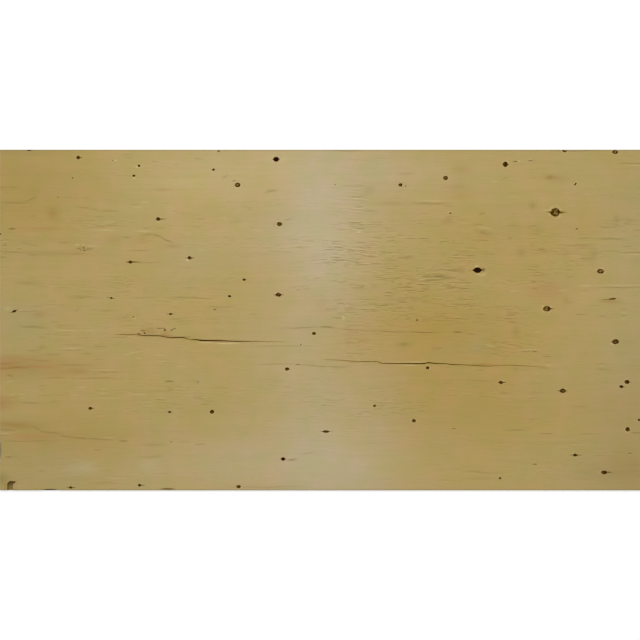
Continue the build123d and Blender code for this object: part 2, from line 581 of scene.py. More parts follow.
@dataclass(frozen=True)
class DeadKnots:
    """Dead knots, each with its bark ring, heart, tails and torn lip drawn about its own middle.

    The mesh holds each corner's place in its knot, in shares of the knot's half length and half
    width. Sizes are in millimetres, and the edges of the body, heart and lip are such shares.
    """

    core: str = "#2C1400"
    bark: str = "#573E00"
    heart: str = "#9A7A3C"
    tail: str = "#6E5214"
    lip: str = "#D2BC88"
    rough_size: float = 9.0
    roughness: float = 0.55
    body_edge: Span = (0.86, 1.12)
    heart_edge: Span = (0.36, 0.70)
    heart_drift: float = 1.3
    heart_drift_size: float = 24.0
    patch_size: float = 6.0
    patch_range: Span = (0.42, 0.60)
    speck_range: Span = (0.38, 0.62)
    tail_tip: float = 0.14
    tail_root: float = 0.42
    tail_edge: Span = (-0.14, 0.16)
    tail_fade: float = 0.45
    lip_edge: Span = (1.25, 1.9)
    lip_range: Span = (0.48, 0.62)
    lip_share: float = 0.45

    def draw(self, add: NodeMaker, wood: Source, where: Source) -> tuple[Source, Source]:
        """Lays the knots over the wood.

        Args:
            add: Adds a node to the finish.
            wood: The colour of the clear wood.
            where: The point on the sheet, in metres.

        Returns:
            The colour with the knots, and how hollow the surface is there.
        """
        spot = add("Attribute", {}, attribute_name="knot_place").outputs["Vector"]
        look = add("Attribute", {}, attribute_name="knot_look").outputs["Color"]
        ringed, strength, reach = add("SeparateColor", {0: look}).outputs
        rough = add("TexNoise", {"Vector": where, "Scale": 1 / (self.rough_size * MM), "Detail": 3.0})
        spot = self.shifted(add, spot, rough, self.roughness)
        along, across, _ = add("SeparateXYZ", {0: spot}).outputs
        flat = add("CombineXYZ", {"X": along, "Y": across})
        radius = add("VectorMath", {0: flat}, operation="LENGTH")

        full, none = self.body_edge
        body = add("MapRange", {"Value": radius, "From Min": none, "From Max": full},
                   interpolation_type="SMOOTHSTEP")
        body = add("Math", {0: body, 1: strength}, operation="MULTIPLY")
        tail = add("Math", {0: self.tails(add, along, across, reach), 1: strength}, operation="MULTIPLY")
        full, none = self.lip_edge
        lip = add("MapRange", {"Value": radius, "From Min": none, "From Max": full},
                  interpolation_type="SMOOTHSTEP")
        ragged = add("MapRange", {"Value": rough, "From Min": self.lip_range[0],
                                  "From Max": self.lip_range[1]})
        for part in (ragged, strength, self.lip_share):
            lip = add("Math", {0: lip, 1: part}, operation="MULTIPLY")

        inside = self.inside(add, where, flat, ringed, rough)
        for share, colour in ((lip, linear(self.lip)), (tail, linear(self.tail)), (body, inside)):
            wood = add("Mix", {FACTOR: share, UNDER: wood, OVER: colour}, data_type="RGBA")
        return wood, body

    def shifted(self, add: NodeMaker, spot: Source, noise: bpy.types.Node, amount: float) -> Source:
        """Moves a place about, so that what is drawn there comes out uneven.

        Args:
            add: Adds a node to the finish.
            spot: The place.
            noise: The noise whose colour moves it.
            amount: How far it moves.

        Returns:
            The moved place.
        """
        shift = add("VectorMath", {0: noise.outputs["Color"], 1: MIDDLE}, operation="SUBTRACT")
        shift = add("VectorMath", {0: shift, "Scale": amount}, operation="SCALE")
        return add("VectorMath", {0: spot, 1: shift}, operation="ADD")

    def inside(self, add: NodeMaker, where: Source, flat: Source, ringed: Source, rough: Source) -> Source:
        """Mixes the knot's own colour: patchy bark, round a specked heart that lies off its middle.

        Args:
            add: Adds a node to the finish.
            where: The point on the sheet, in metres.
            flat: The place in the knot.
            ringed: How much of the heart shows.
            rough: The noise that specks the heart.

        Returns:
            The colour.
        """
        drift = add("TexNoise", {"Vector": where, "Scale": 1 / (self.heart_drift_size * MM), "Detail": 1.0})
        inner = self.shifted(add, flat, drift, self.heart_drift)
        inner = add("VectorMath", {0: inner}, operation="LENGTH")
        full, none = self.heart_edge
        heart = add("MapRange", {"Value": inner, "From Min": none, "From Max": full},
                    interpolation_type="SMOOTHSTEP")
        heart = add("Math", {0: heart, 1: ringed}, operation="MULTIPLY")
        patchy = add("TexNoise", {"Vector": where, "Scale": 1 / (self.patch_size * MM), "Detail": 1.0})
        patchy = add("MapRange", {"Value": patchy, "From Min": self.patch_range[0],
                                  "From Max": self.patch_range[1]})
        speck = add("MapRange", {"Value": rough, "From Min": self.speck_range[0],
                                 "From Max": self.speck_range[1]})
        core, bark, pith = linear(self.core), linear(self.bark), linear(self.heart)
        ring = add("Mix", {FACTOR: patchy, UNDER: core, OVER: bark}, data_type="RGBA")
        pith = add("Mix", {FACTOR: speck, UNDER: bark, OVER: pith}, data_type="RGBA")
        return add("Mix", {FACTOR: heart, UNDER: ring, OVER: pith}, data_type="RGBA")

    def tails(self, add: NodeMaker, along: Source, across: Source, reach: Source) -> Source:
        """Draws the tails, which thin out to their tips.

        Args:
            add: Adds a node to the finish.
            along: The place in the knot, along it.
            across: The place in the knot, across it.
            reach: Where the tail ends.

        Returns:
            How strong the tail is, from 0 to 1.
        """
        away = add("Math", {0: along}, operation="ABSOLUTE")
        taper = add("Math", {0: away, 1: reach}, operation="DIVIDE")
        taper = add("Math", {0: 1.0, 1: taper}, operation="SUBTRACT", use_clamp=True)
        half = add("Math", {0: taper, 1: 2.0}, operation="POWER")
        half = add("Math", {0: half, 1: self.tail_root, 2: self.tail_tip}, operation="MULTIPLY_ADD")
        side = add("Math", {0: across}, operation="ABSOLUTE")
        tail = add("Math", {0: half, 1: side}, operation="SUBTRACT")
        tail = add("MapRange", {"Value": tail, "From Min": self.tail_edge[0], "From Max": self.tail_edge[1]},
                   interpolation_type="SMOOTHSTEP")
        fading = add("MapRange", {"Value": taper, "From Max": self.tail_fade})
        return add("Math", {0: tail, 1: fading}, operation="MULTIPLY")


@dataclass(frozen=True)
class PeeledSpruceFace:
    """Rotary-peeled spruce veneer, left raw as it came off the knife.

    The knife unrolls the log, so year rings show as broad faint bands along the sheet, with fine
    raised fibres that catch the light as short dashes where the knife tore them. Sizes are in
    millimetres. Pores and fibres are really a few hundredths of a millimetre wide, and are drawn
    as coarse as they need to show. The casts are what blotches and mottle multiply the wood's red,
    green and blue by, at the low and at the high end of the noise.
    """

    name: str = "peeled_spruce_veneer"
    seed: float = 0.0
    wander: float = 22.0
    wander_size: float = 520.0
    rings: Pattern = Pattern(620.0, 26.0, 3.0, 0.09)
    streaks: Pattern = Pattern(210.0, 6.5, 3.0, 0.07)
    fibres: Pattern = Pattern(48.0, 3.4, 2.0, 0.075)
    pores: Pattern = Pattern(14.0, 0.7, 2.0, 0.06)
    blotch_size: float = 70.0
    blotch_depth: float = 0.05
    blotch_casts: tuple[Colour, Colour] = ((0.97, 1.005, 0.95, 1.0), (1.02, 0.985, 1.05, 1.0))
    mottle_size: float = 210.0
    mottle_casts: tuple[Colour, Colour] = ((0.99, 1.01, 1.06, 1.0), (1.01, 0.99, 0.96, 1.0))
    cast_range: Span = (0.36, 0.64)
    torn: TornFibres = TornFibres()
    torn_depth: float = 0.6
    torn_shadow: str = "#846A24"
    torn_shadow_share: float = 1.1
    thin_streaks: ThinStreaks = ThinStreaks()
    knots: DeadKnots = DeadKnots()
    fibre_relief: float = 0.25
    relief: float = 0.5
    relief_strength: float = 0.5
    roughness: float = 0.6
    gloss: float = 0.03

    def material(self) -> bpy.types.Material:
        """Builds the node material.

        Returns:
            The finish for a face or back veneer.
        """
        material, add = new_material(self.name)
        where = add("TexCoord", {}).outputs["Object"]
        seeded = add("VectorMath", {0: where, 1: (self.seed, self.seed, self.seed)}, operation="ADD")
        flow = self.flow(add, seeded)
        fibres = self.fibres.draw(add, flow)
        blotches, mottle = (add("TexNoise", {"Vector": seeded, "Scale": 1 / (size * MM), "Detail": 2.0})
                            for size in (self.blotch_size, self.mottle_size))
        dashes = self.torn.draw(add, flow)

        wood = add("Attribute", {}, attribute_name="tone").outputs["Color"]
        for pattern, casts in ((blotches, self.blotch_casts), (mottle, self.mottle_casts)):
            hue = add("MapRange", {"Value": pattern, "From Min": self.cast_range[0],
                                   "From Max": self.cast_range[1]})
            cast = add("Mix", {FACTOR: hue, UNDER: casts[0], OVER: casts[1]}, data_type="RGBA")
            wood = add("Mix", {FACTOR: 1.0, UNDER: wood, OVER: cast}, data_type="RGBA",
                       blend_type="MULTIPLY")
        wood = self.thin_streaks.draw(add, wood, flow, fibres)
        # The torn fibres' dark lines are painted shade, browned towards the shadow colour
        shadow = add("Math", {0: dashes, 1: -self.torn_shadow_share}, operation="MULTIPLY", use_clamp=True)
        wood = add("Mix", {FACTOR: shadow, UNDER: wood, OVER: linear(self.torn_shadow)}, data_type="RGBA")
        shade = self.shade(add, flow, fibres, blotches, dashes)
        wood = add("VectorMath", {0: wood, "Scale": shade}, operation="SCALE")

        wood, hollow = self.knots.draw(add, wood, where)
        height = add("Math", {0: fibres, 1: self.fibre_relief, 2: dashes}, operation="MULTIPLY_ADD")
        height = add("Math", {0: height, 1: hollow}, operation="SUBTRACT")
        bump = add("Bump", {"Height": height, "Distance": self.relief * MM,
                            "Strength": self.relief_strength})
        surface = add("BsdfPrincipled", {"Base Color": wood, "Roughness": self.roughness,
                                         "Specular IOR Level": self.gloss, "Normal": bump})
        add("OutputMaterial", {"Surface": surface})
        return material

    def flow(self, add: NodeMaker, seeded: Source) -> Source:
        """Bends the grain round the knots, and lets it wander from side to side.

        Args:
            add: Adds a node to the finish.
            seeded: The point on the sheet, moved by the seed.

        Returns:
            Where the grain is read, in metres.
        """
        drift = add("Attribute", {}, attribute_name="grain_drift").outputs["Vector"]
        swell = add("TexNoise", {"Vector": seeded, "Scale": 1 / (self.wander_size * MM), "Detail": 1.0})
        swing = add("MapRange", {"Value": swell, "To Min": -self.wander * MM, "To Max": self.wander * MM})
        lift = add("CombineXYZ", {"Y": swing})
        flow = add("VectorMath", {0: seeded, 1: drift}, operation="ADD")
        return add("VectorMath", {0: flow, 1: lift}, operation="ADD")

    def shade(self, add: NodeMaker, flow: Source, fibres: Source, blotches: Source,
              dashes: Source) -> Source:
        """Works out how much the grain darkens and lightens the wood.

        Args:
            add: Adds a node to the finish.
            flow: Where the grain is read, in metres.
            fibres: The pattern of the fibres.
            blotches: The pattern of the blotches.
            dashes: The pattern of the torn fibres.

        Returns:
            The share by which the wood's colour is multiplied.
        """
        patterns = ((self.rings.draw(add, flow), self.rings.depth),
                    (self.streaks.draw(add, flow), self.streaks.depth),
                    (fibres, self.fibres.depth),
                    (self.pores.draw(add, flow), self.pores.depth),
                    (blotches, self.blotch_depth))
        shade, *parts = [add("Math", {0: pattern, 1: depth, 2: 1.0 - depth / 2}, operation="MULTIPLY_ADD")
                         for pattern, depth in patterns]
        # The torn fibres darken and lighten the wood as painted shade and painted highlight
        parts.append(add("Math", {0: dashes, 1: self.torn_depth, 2: 1.0}, operation="MULTIPLY_ADD"))
        for part in parts:
            shade = add("Math", {0: shade, 1: part}, operation="MULTIPLY")
        return shade


@dataclass(frozen=True)
class SawnEdge:
    """The sawn edge of one veneer: long grain on two sides and darker end grain on the other two.

    The resin between the veneers shows as thin dark lines, and the saw leaves faint upright scores.
    Sizes are in millimetres, and fibres and scores are drawn as coarse as they need to show.
    """

    way: GrainWay
    colour: str = "#A88C5C"
    end_colour: str = "#8A6C42"
    resin_colour: str = "#3A2414"
    resin_width: float = 0.32
    resin_soft: float = 0.02  # how soft the resin line's edge is, as a share of the ply
    fibre_length: float = 30.0
    fibre_width: float = 0.9
    fibre_depth: float = 0.5
    broad_size: float = 60.0
    broad_depth: float = 0.3
    score_spacing: float = 2.2
    score_length: float = 25.0
    relief: float = 0.25
    relief_strength: float = 0.6
    roughness: float = 0.78

    def material(self) -> bpy.types.Material:
        """Builds the node material.

        Returns:
            The finish for the edges of a veneer.
        """
        material, add = new_material(f"sawn_edge_grain_{self.way.name.lower()}")
        where = add("TexCoord", {}).outputs["Object"]
        long, fine = 1 / (self.fibre_length * MM), 1 / (self.fibre_width * MM)
        along = self.way is GrainWay.ALONG
        stretch = (long, fine, fine) if along else (fine, long, fine)
        scaled = add("VectorMath", {0: where, 1: stretch}, operation="MULTIPLY")
        fibres = add("TexNoise", {"Vector": scaled, "Scale": 1.0, "Detail": 3.0})
        broad = add("TexNoise", {"Vector": where, "Scale": 1 / (self.broad_size * MM), "Detail": 2.0})
        facing = add("NewGeometry", {}).outputs["Normal"]
        axis = (1.0, 0.0, 0.0) if along else (0.0, 1.0, 0.0)
        end = add("VectorMath", {0: facing, 1: axis}, operation="DOT_PRODUCT")
        end = add("Math", {0: end}, operation="ABSOLUTE")
        wood = add("Mix", {FACTOR: end, UNDER: linear(self.colour), OVER: linear(self.end_colour)},
                   data_type="RGBA")
        shade, wide = (add("Math", {0: pattern, 1: depth, 2: 1.0 - depth / 2}, operation="MULTIPLY_ADD")
                       for pattern, depth in ((fibres, self.fibre_depth), (broad, self.broad_depth)))
        shade = add("Math", {0: shade, 1: wide}, operation="MULTIPLY")
        wood = add("VectorMath", {0: wood, "Scale": shade}, operation="SCALE")
        wood = add("Mix", {FACTOR: self.resin(add, where), UNDER: wood, OVER: linear(self.resin_colour)},
                   data_type="RGBA")

        score = 1 / (self.score_spacing * MM)
        scored = add("VectorMath", {0: where, 1: (score, score, 1 / (self.score_length * MM))},
                     operation="MULTIPLY")
        scores = add("TexNoise", {"Vector": scored, "Scale": 1.0, "Detail": 1.0})
        relief = add("Math", {0: scores, 1: fibres}, operation="ADD")
        bump = add("Bump", {"Height": relief, "Distance": self.relief * MM,
                            "Strength": self.relief_strength})
        surface = add("BsdfPrincipled", {"Base Color": wood, "Roughness": self.roughness, "Normal": bump})
        add("OutputMaterial", {"Surface": surface})
        return material

    def resin(self, add: NodeMaker, where: Source) -> Source:
        """Finds the glue lines between the veneers, but none at the sheet's own two faces.

        Args:
            add: Adds a node to the finish.
            where: The point on the sheet, in metres.

        Returns:
            How much resin shows, from 0 to 1.
        """
        height = add("SeparateXYZ", {0: where}).outputs[2]
        layer = add("Math", {0: height, 1: 1 / (PLY_THICKNESS * MM)}, operation="MULTIPLY")
        near = add("Math", {0: layer}, operation="FRACT")
        near = add("Math", {0: near, 1: 0.5}, operation="SUBTRACT")
        near = add("Math", {0: near}, operation="ABSOLUTE")
        edge = 0.5 - self.resin_width / 2 / PLY_THICKNESS
        resin = add("MapRange", {"Value": near, "From Min": edge - self.resin_soft,
                                 "From Max": edge + self.resin_soft}, interpolation_type="SMOOTHSTEP")
        outer = add("Math", {0: layer, 1: PLY_COUNT / 2}, operation="SUBTRACT")
        outer = add("Math", {0: outer}, operation="ABSOLUTE")
        inner = add("Math", {0: outer, 1: PLY_COUNT / 2 - 0.5}, operation="LESS_THAN")
        return add("Math", {0: resin, 1: inner}, operation="MULTIPLY")


@dataclass(frozen=True)
class ResinCoatedCrossband:
    """Spruce crossband under its film of cured phenolic resin, a little glossy. Its brown-black is partly
    the resin and partly painted shade at the bottom of the openings.

    It is what shows at the bottom of every knothole, split and chip. Sizes are in millimetres.
    """

    fibre_length: float = 40.0
    fibre_width: float = 1.6
    fibre_depth: float = 0.9
    darkest: float = 0.55
    relief: float = 0.2
    relief_strength: float = 0.6
    roughness: float = 0.7
    gloss: float = 0.03

    def material(self) -> bpy.types.Material:
        """Builds the node material.

        Returns:
            The finish for the top of a crossband.
        """
        material, add = new_material("resin_coated_crossband")
        where = add("TexCoord", {}).outputs["Object"]
        stretch = (1 / (self.fibre_width * MM), 1 / (self.fibre_length * MM), 1.0)
        scaled = add("VectorMath", {0: where, 1: stretch}, operation="MULTIPLY")
        fibres = add("TexNoise", {"Vector": scaled, "Scale": 1.0, "Detail": 3.0})
        shade = add("Math", {0: fibres, 1: self.fibre_depth, 2: self.darkest}, operation="MULTIPLY_ADD")
        tone = add("Attribute", {}, attribute_name="tone").outputs["Color"]
        resin = add("VectorMath", {0: tone, "Scale": shade}, operation="SCALE")
        bump = add("Bump", {"Height": fibres, "Distance": self.relief * MM,
                            "Strength": self.relief_strength})
        surface = add("BsdfPrincipled", {"Base Color": resin, "Roughness": self.roughness,
                                         "Specular IOR Level": self.gloss, "Normal": bump})
        add("OutputMaterial", {"Surface": surface})
        return material


@dataclass(frozen=True)
class StainedRecessWall:
    """The torn wall of a knothole or split, darkened by bark, resin and dirt, and by painted shade.

    Sizes are in millimetres.
    """

    # Both colours are near black, partly bark, resin and dirt and partly painted shade
    dark: str = "#2A1606"
    pale: str = "#4A3014"
    tear_size: float = 2.5
    relief: float = 0.4
    relief_strength: float = 0.7
    roughness: float = 0.85
    gloss: float = 0.03

    def material(self) -> bpy.types.Material:
        """Builds the node material.

        Returns:
            The finish for the inside walls of the openings.
        """
        material, add = new_material("stained_recess_wall")
        where = add("TexCoord", {}).outputs["Object"]
        torn = add("TexNoise", {"Vector": where, "Scale": 1 / (self.tear_size * MM), "Detail": 3.0})
        colour = add("Mix", {FACTOR: torn, UNDER: linear(self.dark), OVER: linear(self.pale)},
                     data_type="RGBA")
        bump = add("Bump", {"Height": torn, "Distance": self.relief * MM, "Strength": self.relief_strength})
        surface = add("BsdfPrincipled", {"Base Color": colour, "Roughness": self.roughness,
                                         "Specular IOR Level": self.gloss, "Normal": bump})
        add("OutputMaterial", {"Surface": surface})
        return material


@dataclass
class Ply:
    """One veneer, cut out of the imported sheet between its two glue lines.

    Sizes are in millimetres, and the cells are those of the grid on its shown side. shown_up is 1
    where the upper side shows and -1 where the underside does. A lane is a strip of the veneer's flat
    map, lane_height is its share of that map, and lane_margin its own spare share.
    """

    name: str
    number: int
    way: GrainWay
    shown_up: float = 1.0
    cell_along: float = 60.0
    cell_across: float = 40.0
    seam: float = 0.01
    overhang: float = 10.0
    rim: float = 1.5
    lanes: int = 9
    lane_height: float = 0.0135
    lane_margin: float = 0.1

    @property
    def low(self) -> float:
        """Height of the veneer's underside."""
        return (self.number - 1) * PLY_THICKNESS + self.seam

    @property
    def high(self) -> float:
        """Height of the veneer's upper side."""
        return self.number * PLY_THICKNESS - self.seam

    @property
    def shown(self) -> float:
        """Height of the side that shows: the upper one, or the underside on the back veneer."""
        return self.high if self.shown_up > 0 else self.low

    def blank(self) -> bmesh.types.BMesh:
        """Makes the veneer's blank: a slab a little larger than the sheet, gridded on its shown side.

        Returns:
            The closed slab.
        """
        length, width = SHEET_LENGTH + 2 * self.overhang, SHEET_WIDTH + 2 * self.overhang
        shape = bmesh.new()
        # A grid of size 0.5 is one metre square, and the matrix draws it out
        bmesh.ops.create_grid(shape, x_segments=round(length / self.cell_along),
                              y_segments=round(width / self.cell_across), size=0.5,
                              matrix=Matrix.Diagonal((length * MM, width * MM, 1.0, 1.0)))
        self.refine(shape)
        rim = [edge for edge in shape.edges if edge.is_boundary]
        skirt = bmesh.ops.extrude_edge_only(shape, edges=rim)["geom"]
        hidden = [item for item in skirt if isinstance(item, bmesh.types.BMVert)]
        bmesh.ops.translate(shape, verts=hidden, vec=(0, 0, (self.low + self.high - 2 * self.shown) * MM))
        open_rim = [item for item in skirt if isinstance(item, bmesh.types.BMEdge) and item.is_boundary]
        bmesh.ops.contextual_create(shape, geom=open_rim)
        bmesh.ops.translate(shape, verts=shape.verts, vec=(0, 0, SHEET_LOW.z + self.shown * MM))
        bmesh.ops.recalc_face_normals(shape, faces=shape.faces)
        return shape

    def refine(self, shape: bmesh.types.BMesh) -> None:
        """Leaves the grid as it is; a veneer that shows cuts it finer round its knots.

        Args:
            shape: The flat grid, in frame coordinates.
        """

    def cut(self, cutter: bpy.types.Object) -> bpy.types.Mesh:
        """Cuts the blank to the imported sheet, with its openings, chips and core gaps.

        Args:
            cutter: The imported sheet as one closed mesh.

        Returns:
            The veneer's mesh.
        """
        shape = self.blank()
        mesh = bpy.data.meshes.new(self.name + "_blank")
        shape.to_mesh(mesh)
        shape.free()
        slab = bpy.data.objects.new(self.name + "_blank", mesh)
        bpy.context.scene.collection.objects.link(slab)
        shared = slab.modifiers.new("shared with the sheet", "BOOLEAN")
        shared.object = cutter
        shared.operation = "INTERSECT"
        shared.solver = "EXACT"
        veneer = bpy.data.meshes.new_from_object(slab.evaluated_get(bpy.context.evaluated_depsgraph_get()))
        bpy.data.objects.remove(slab)
        bpy.data.meshes.remove(mesh)
        return veneer

    def sort_faces(self, mesh: bpy.types.Mesh) -> None:
        """Gives each face the finish of the side that it belongs to.

        Args:
            mesh: The veneer's mesh.
        """
        for face in mesh.polygons:
            spot = (face.center - SHEET_LOW) / MM
            within = (self.rim <= spot.x <= SHEET_LENGTH - self.rim
                      and self.rim <= spot.y <= SHEET_WIDTH - self.rim)
            if face.normal.z * self.shown_up > SHOWN_TILT:
                face.material_index = Side.SHOWN
            elif abs(face.normal.z) > FLAT or not within:
                face.material_index = Side.SAWN
            else:
                face.material_index = Side.WALL

    def lay_flat(self, mesh: bpy.types.Mesh) -> None:
        """Lays the veneer out flat in its OFBake map, with nearly all of the map for its shown side.

        Below it lie narrow lanes: four for the sawn edges, four for the walls of the openings, by
        the way that they face, and one for the hidden side.

        Args:
            mesh: The veneer's mesh with its faces sorted.
        """
        owner, spots, _ = mesh_corners(mesh)
        normals, kinds = np.empty(len(mesh.polygons) * 3), np.empty(len(mesh.polygons), int)
        mesh.polygons.foreach_get("normal", normals)
        mesh.polygons.foreach_get("material_index", kinds)
        normals, kinds = normals.reshape(-1, 3)[owner], kinds[owner]
        along, across = spots[:, 0] / SHEET_LENGTH, spots[:, 1] / SHEET_WIDTH
        upright = np.clip((spots[:, 2] - self.low) / (self.high - self.low), 0.0, 1.0)
        flat = np.abs(normals[:, 2]) > FLAT
        endways = ~flat & (np.abs(normals[:, 0]) > np.abs(normals[:, 1]))
        turned_up = normals[:, 0] + normals[:, 1] > 0
        lane = np.where(flat, self.lanes - 1, 4 * (kinds == Side.WALL) + 2 * endways + turned_up)
        room = 1.0 - 2 * self.lane_margin
        over = (lane + self.lane_margin + room * np.where(flat, across, upright)) * self.lane_height
        beside = self.lanes * self.lane_height
        spread = np.column_stack((np.where(endways, across, along), over))
        shown = kinds == Side.SHOWN
        spread[shown] = np.column_stack((along, beside + (1.0 - beside) * across))[shown]
        layout = mesh.uv_layers.new(name="OFBake")
        layout.uv.foreach_set("vector", np.clip(spread, 0.0, 1.0).astype(np.float32).ravel())


@dataclass
class InnerPly(Ply):
    """A crossband or the core, seen at the edges and at the bottom of the openings."""

    # The near-black ground is partly resin and partly painted shade, as it shows at the bottom of the
    # openings
    glue: str = WoodTint.RESIN.value

    def build(self, cutter: bpy.types.Object) -> bpy.types.Object:
        """Cuts and dresses the veneer.

        Args:
            cutter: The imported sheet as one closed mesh.

        Returns:
            The piece.
        """
        mesh = self.cut(cutter)
        self.sort_faces(mesh)
        self.lay_flat(mesh)
        store(mesh, "tone", "FLOAT_COLOR", "POINT", stained(mesh_places(mesh), self.glue, FLOOR_STAINS))
        finishes = (ResinCoatedCrossband(), SawnEdge(self.way), StainedRecessWall())
        return finish_piece(self.name, mesh, [finish.material() for finish in finishes])


@dataclass(frozen=True)
class FaceRelief:
    """How the shown side rises and sinks: slow waves, sunken knots, and lips lifted at the openings.

    Sizes are in millimetres. A knot's ring and heart are placed in shares of its half length and
    half width, and rag_share is how much of a lip's height comes and goes along it.
    """

    wave_height: float = 0.06
    wave_along: float = 190.0
    wave_across: float = 95.0
    wave_slant: float = 700.0
    wave_bend: float = 1.3
    wave_bend_size: float = 240.0
    lip_height: float = 0.5
    lip_reach: float = 2.6
    rag_share: float = 0.45
    rag_along: float = 11.0
    rag_across: float = 5.0
    rag_slant: float = 23.0
    rag_bend: float = 2.0
    rag_bend_size: float = 37.0
    ring_depth: float = 0.30
    ring_place: float = 0.95
    ring_width: float = 0.22
    heart_rise: float = 0.12
    heart_size: float = 0.6

    def heights(self, places: np.ndarray, openness: np.ndarray, knots: Iterable[Knot]) -> np.ndarray:
        """Works out how far each point stands out of the veneer's flat side.

        Args:
            places: Points in millimetres, one row each.
            openness: Each point's distance from the nearest opening.
            knots: The veneer's knots.

        Returns:
            One height in millimetres for each point.
        """
        along, across = places[:, 0], places[:, 1]
        bend = self.wave_bend * np.sin(across / self.wave_bend_size)
        wave = self.wave_height * np.sin(along / self.wave_along + bend)
        height = wave * np.sin(across / self.wave_across + along / self.wave_slant)
        bend = self.rag_bend * np.sin(along / self.rag_bend_size)
        rag = self.rag_share * np.sin(along / self.rag_along + bend)
        ragged = 1.0 - self.rag_share + rag * np.sin(across / self.rag_across + along / self.rag_slant)
        height += self.lip_height * ragged * np.exp(-(openness / self.lip_reach) ** 2)
        for knot in knots:
            side, over = offsets(places, knot)
            radius = np.hypot(side / (knot.length / 2), over / (knot.width / 2))
            ring = self.ring_depth * np.exp(-((radius - self.ring_place) / self.ring_width) ** 2)
            height -= ring - self.heart_rise * np.exp(-(radius / self.heart_size) ** 2)
        return height


@dataclass
class ShownVeneer(Ply):
    """The face or the back: a peeled veneer with knots, stains and raised grain.

    Sizes are in millimetres. The windows and reaches round a knot or streak are multiples of its
    own size, and each refinement says how often a grid edge is cut, and how closely it must run
    along the grain for that.
    """

    cell_along: float = 20.0
    cell_across: float = 2.6
    ground: str = "#B39C62"
    knots: Sequence[Knot] = ()
    stains: Sequence[Stain] = ()
    torn_patches: Sequence[TornPatch] = ()
    finish: PeeledSpruceFace = PeeledSpruceFace()
    relief: FaceRelief = FaceRelief()
    fuzz_base: float = 0.045
    fuzz_limit: float = 2.6
    refinements: tuple[tuple[int, float], ...] = ((3, 0.8), (1, 0.0))
    window_along: float = 1.7
    window_across: float = 1.02
    least_tail: float = 3.0
    knot_past_tail: float = 1.6
    knot_reach_across: float = 3.2
    streak_reach_along: float = 1.6
    streak_reach_across: float = 2.0
    bend_width: float = 0.8
    bend_along: float = 1.4
    bend_across: float = 2.5
    lip_colour: str = "#A68234"
    lip_stain: float = 0.6
    lip_stain_reach: float = 1.5
    rim_stain: float = 0.35
    rim_stain_reach: float = 3.0
    shown_reach: float = 0.03

    def refine(self, shape: bmesh.types.BMesh) -> None:
        """Cuts the grid finer round each knot, along the grain first.

        Args:
            shape: The flat grid, in frame coordinates.
        """
        for cuts, lean in self.refinements:
            edges = set()
            faces = list(shape.faces)
            centres = kdtree.KDTree(len(faces))
            for number, face in enumerate(faces):
                centres.insert(face.calc_center_median(), number)
            centres.balance()
            for knot in self.knots:
                middle = place(knot.from_end + MARKS_START, knot.from_edge)
                middle.z = 0.0
                reach = max(knot.length, knot.width) * self.window_along * MM
                for centre, number, _ in centres.find_range(middle, reach):
                    if abs(centre.y - middle.y) > knot.width * self.window_across * MM:
                        continue
                    for edge in faces[number].edges:
                        run = edge.verts[0].co - edge.verts[1].co
                        if abs(run.x) >= lean * run.length:
                            edges.add(edge)
            bmesh.ops.subdivide_edges(shape, edges=list(edges), cuts=cuts, use_grid_fill=True)

    def build(self, cutter: bpy.types.Object) -> bpy.types.Object:
        """Cuts, shapes and dresses the veneer.

        Args:
            cutter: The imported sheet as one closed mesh.

        Returns:
            The piece.
        """
        mesh = self.cut(cutter)
        self.sort_faces(mesh)
        self.lay_flat(mesh)
        places = mesh_places(mesh)
        openness = self.near_openings(mesh)
        store(mesh, "tone", "FLOAT_COLOR", "POINT", self.tone_at(places, openness))
        store(mesh, "fuzz", "FLOAT", "POINT", self.fuzz_at(places))
        store(mesh, "grain_drift", "FLOAT_VECTOR", "POINT", self.drift_at(places))
        self.seat_knots(mesh)
        self.seat_streaks(mesh)
        self.raise_grain(mesh, places, openness)
        finishes = (self.finish, SawnEdge(self.way), StainedRecessWall())
        return finish_piece(self.name, mesh, [finish.material() for finish in finishes])

    def near_openings(self, mesh: bpy.types.Mesh) -> np.ndarray:
        """Measures how far each point lies from the nearest wall of an opening.

        Args:
            mesh: The veneer's mesh with its faces sorted.

        Returns:
            One distance in millimetres for each point.
        """
        lips = {point for face in mesh.polygons if face.material_index == Side.WALL
                for point in face.vertices}
        if not lips:
            return np.full(len(mesh.vertices), math.inf)
        rim = kdtree.KDTree(len(lips))
        for point in lips:
            spot = mesh.vertices[point].co
            rim.insert((spot.x, spot.y, 0.0), point)
        rim.balance()
        return np.array([rim.find((v.co.x, v.co.y, 0.0))[2] for v in mesh.vertices]) / MM

    def tone_at(self, places: np.ndarray, openness: np.ndarray) -> np.ndarray:
        """Works out the wood's colour, browned at the openings and darkened along the sawn edges.

        Args:
            places: Points in millimetres, one row each.
            openness: Each point's distance from the nearest opening.

        Returns:
            One linear colour for each point.
        """
        tone = stained(places, self.ground, (stain for stain in self.stains if not stain.fine))
        lip = self.lip_stain * np.exp(-(openness / self.lip_stain_reach) ** 2)[:, None]
        tone += lip * (np.array(linear(self.lip_colour)) - tone)
        # Darker along the near and far edges of the sheet
        from_rim = np.minimum(places[:, 1], SHEET_WIDTH - places[:, 1])
        tone[:, :3] *= 1.0 - self.rim_stain * np.exp(-(from_rim / self.rim_stain_reach) ** 2)[:, None]
        return tone

    def fuzz_at(self, places: np.ndarray) -> np.ndarray:
        """Works out how strongly the torn fibres show.

        Args:
            places: Points in millimetres, one row each.

        Returns:
            One strength for each point.
        """
        fuzz = np.full(len(places), self.fuzz_base)
        for patch in self.torn_patches:
            along = (places[:, 0] - patch.from_end - MARKS_START) / patch.reach_along
            across = (places[:, 1] - patch.from_edge) / patch.reach_across
            fuzz += patch.strength * np.exp(-(along ** 2 + across ** 2))
        return fuzz / (1.0 + self.fuzz_limit * fuzz)

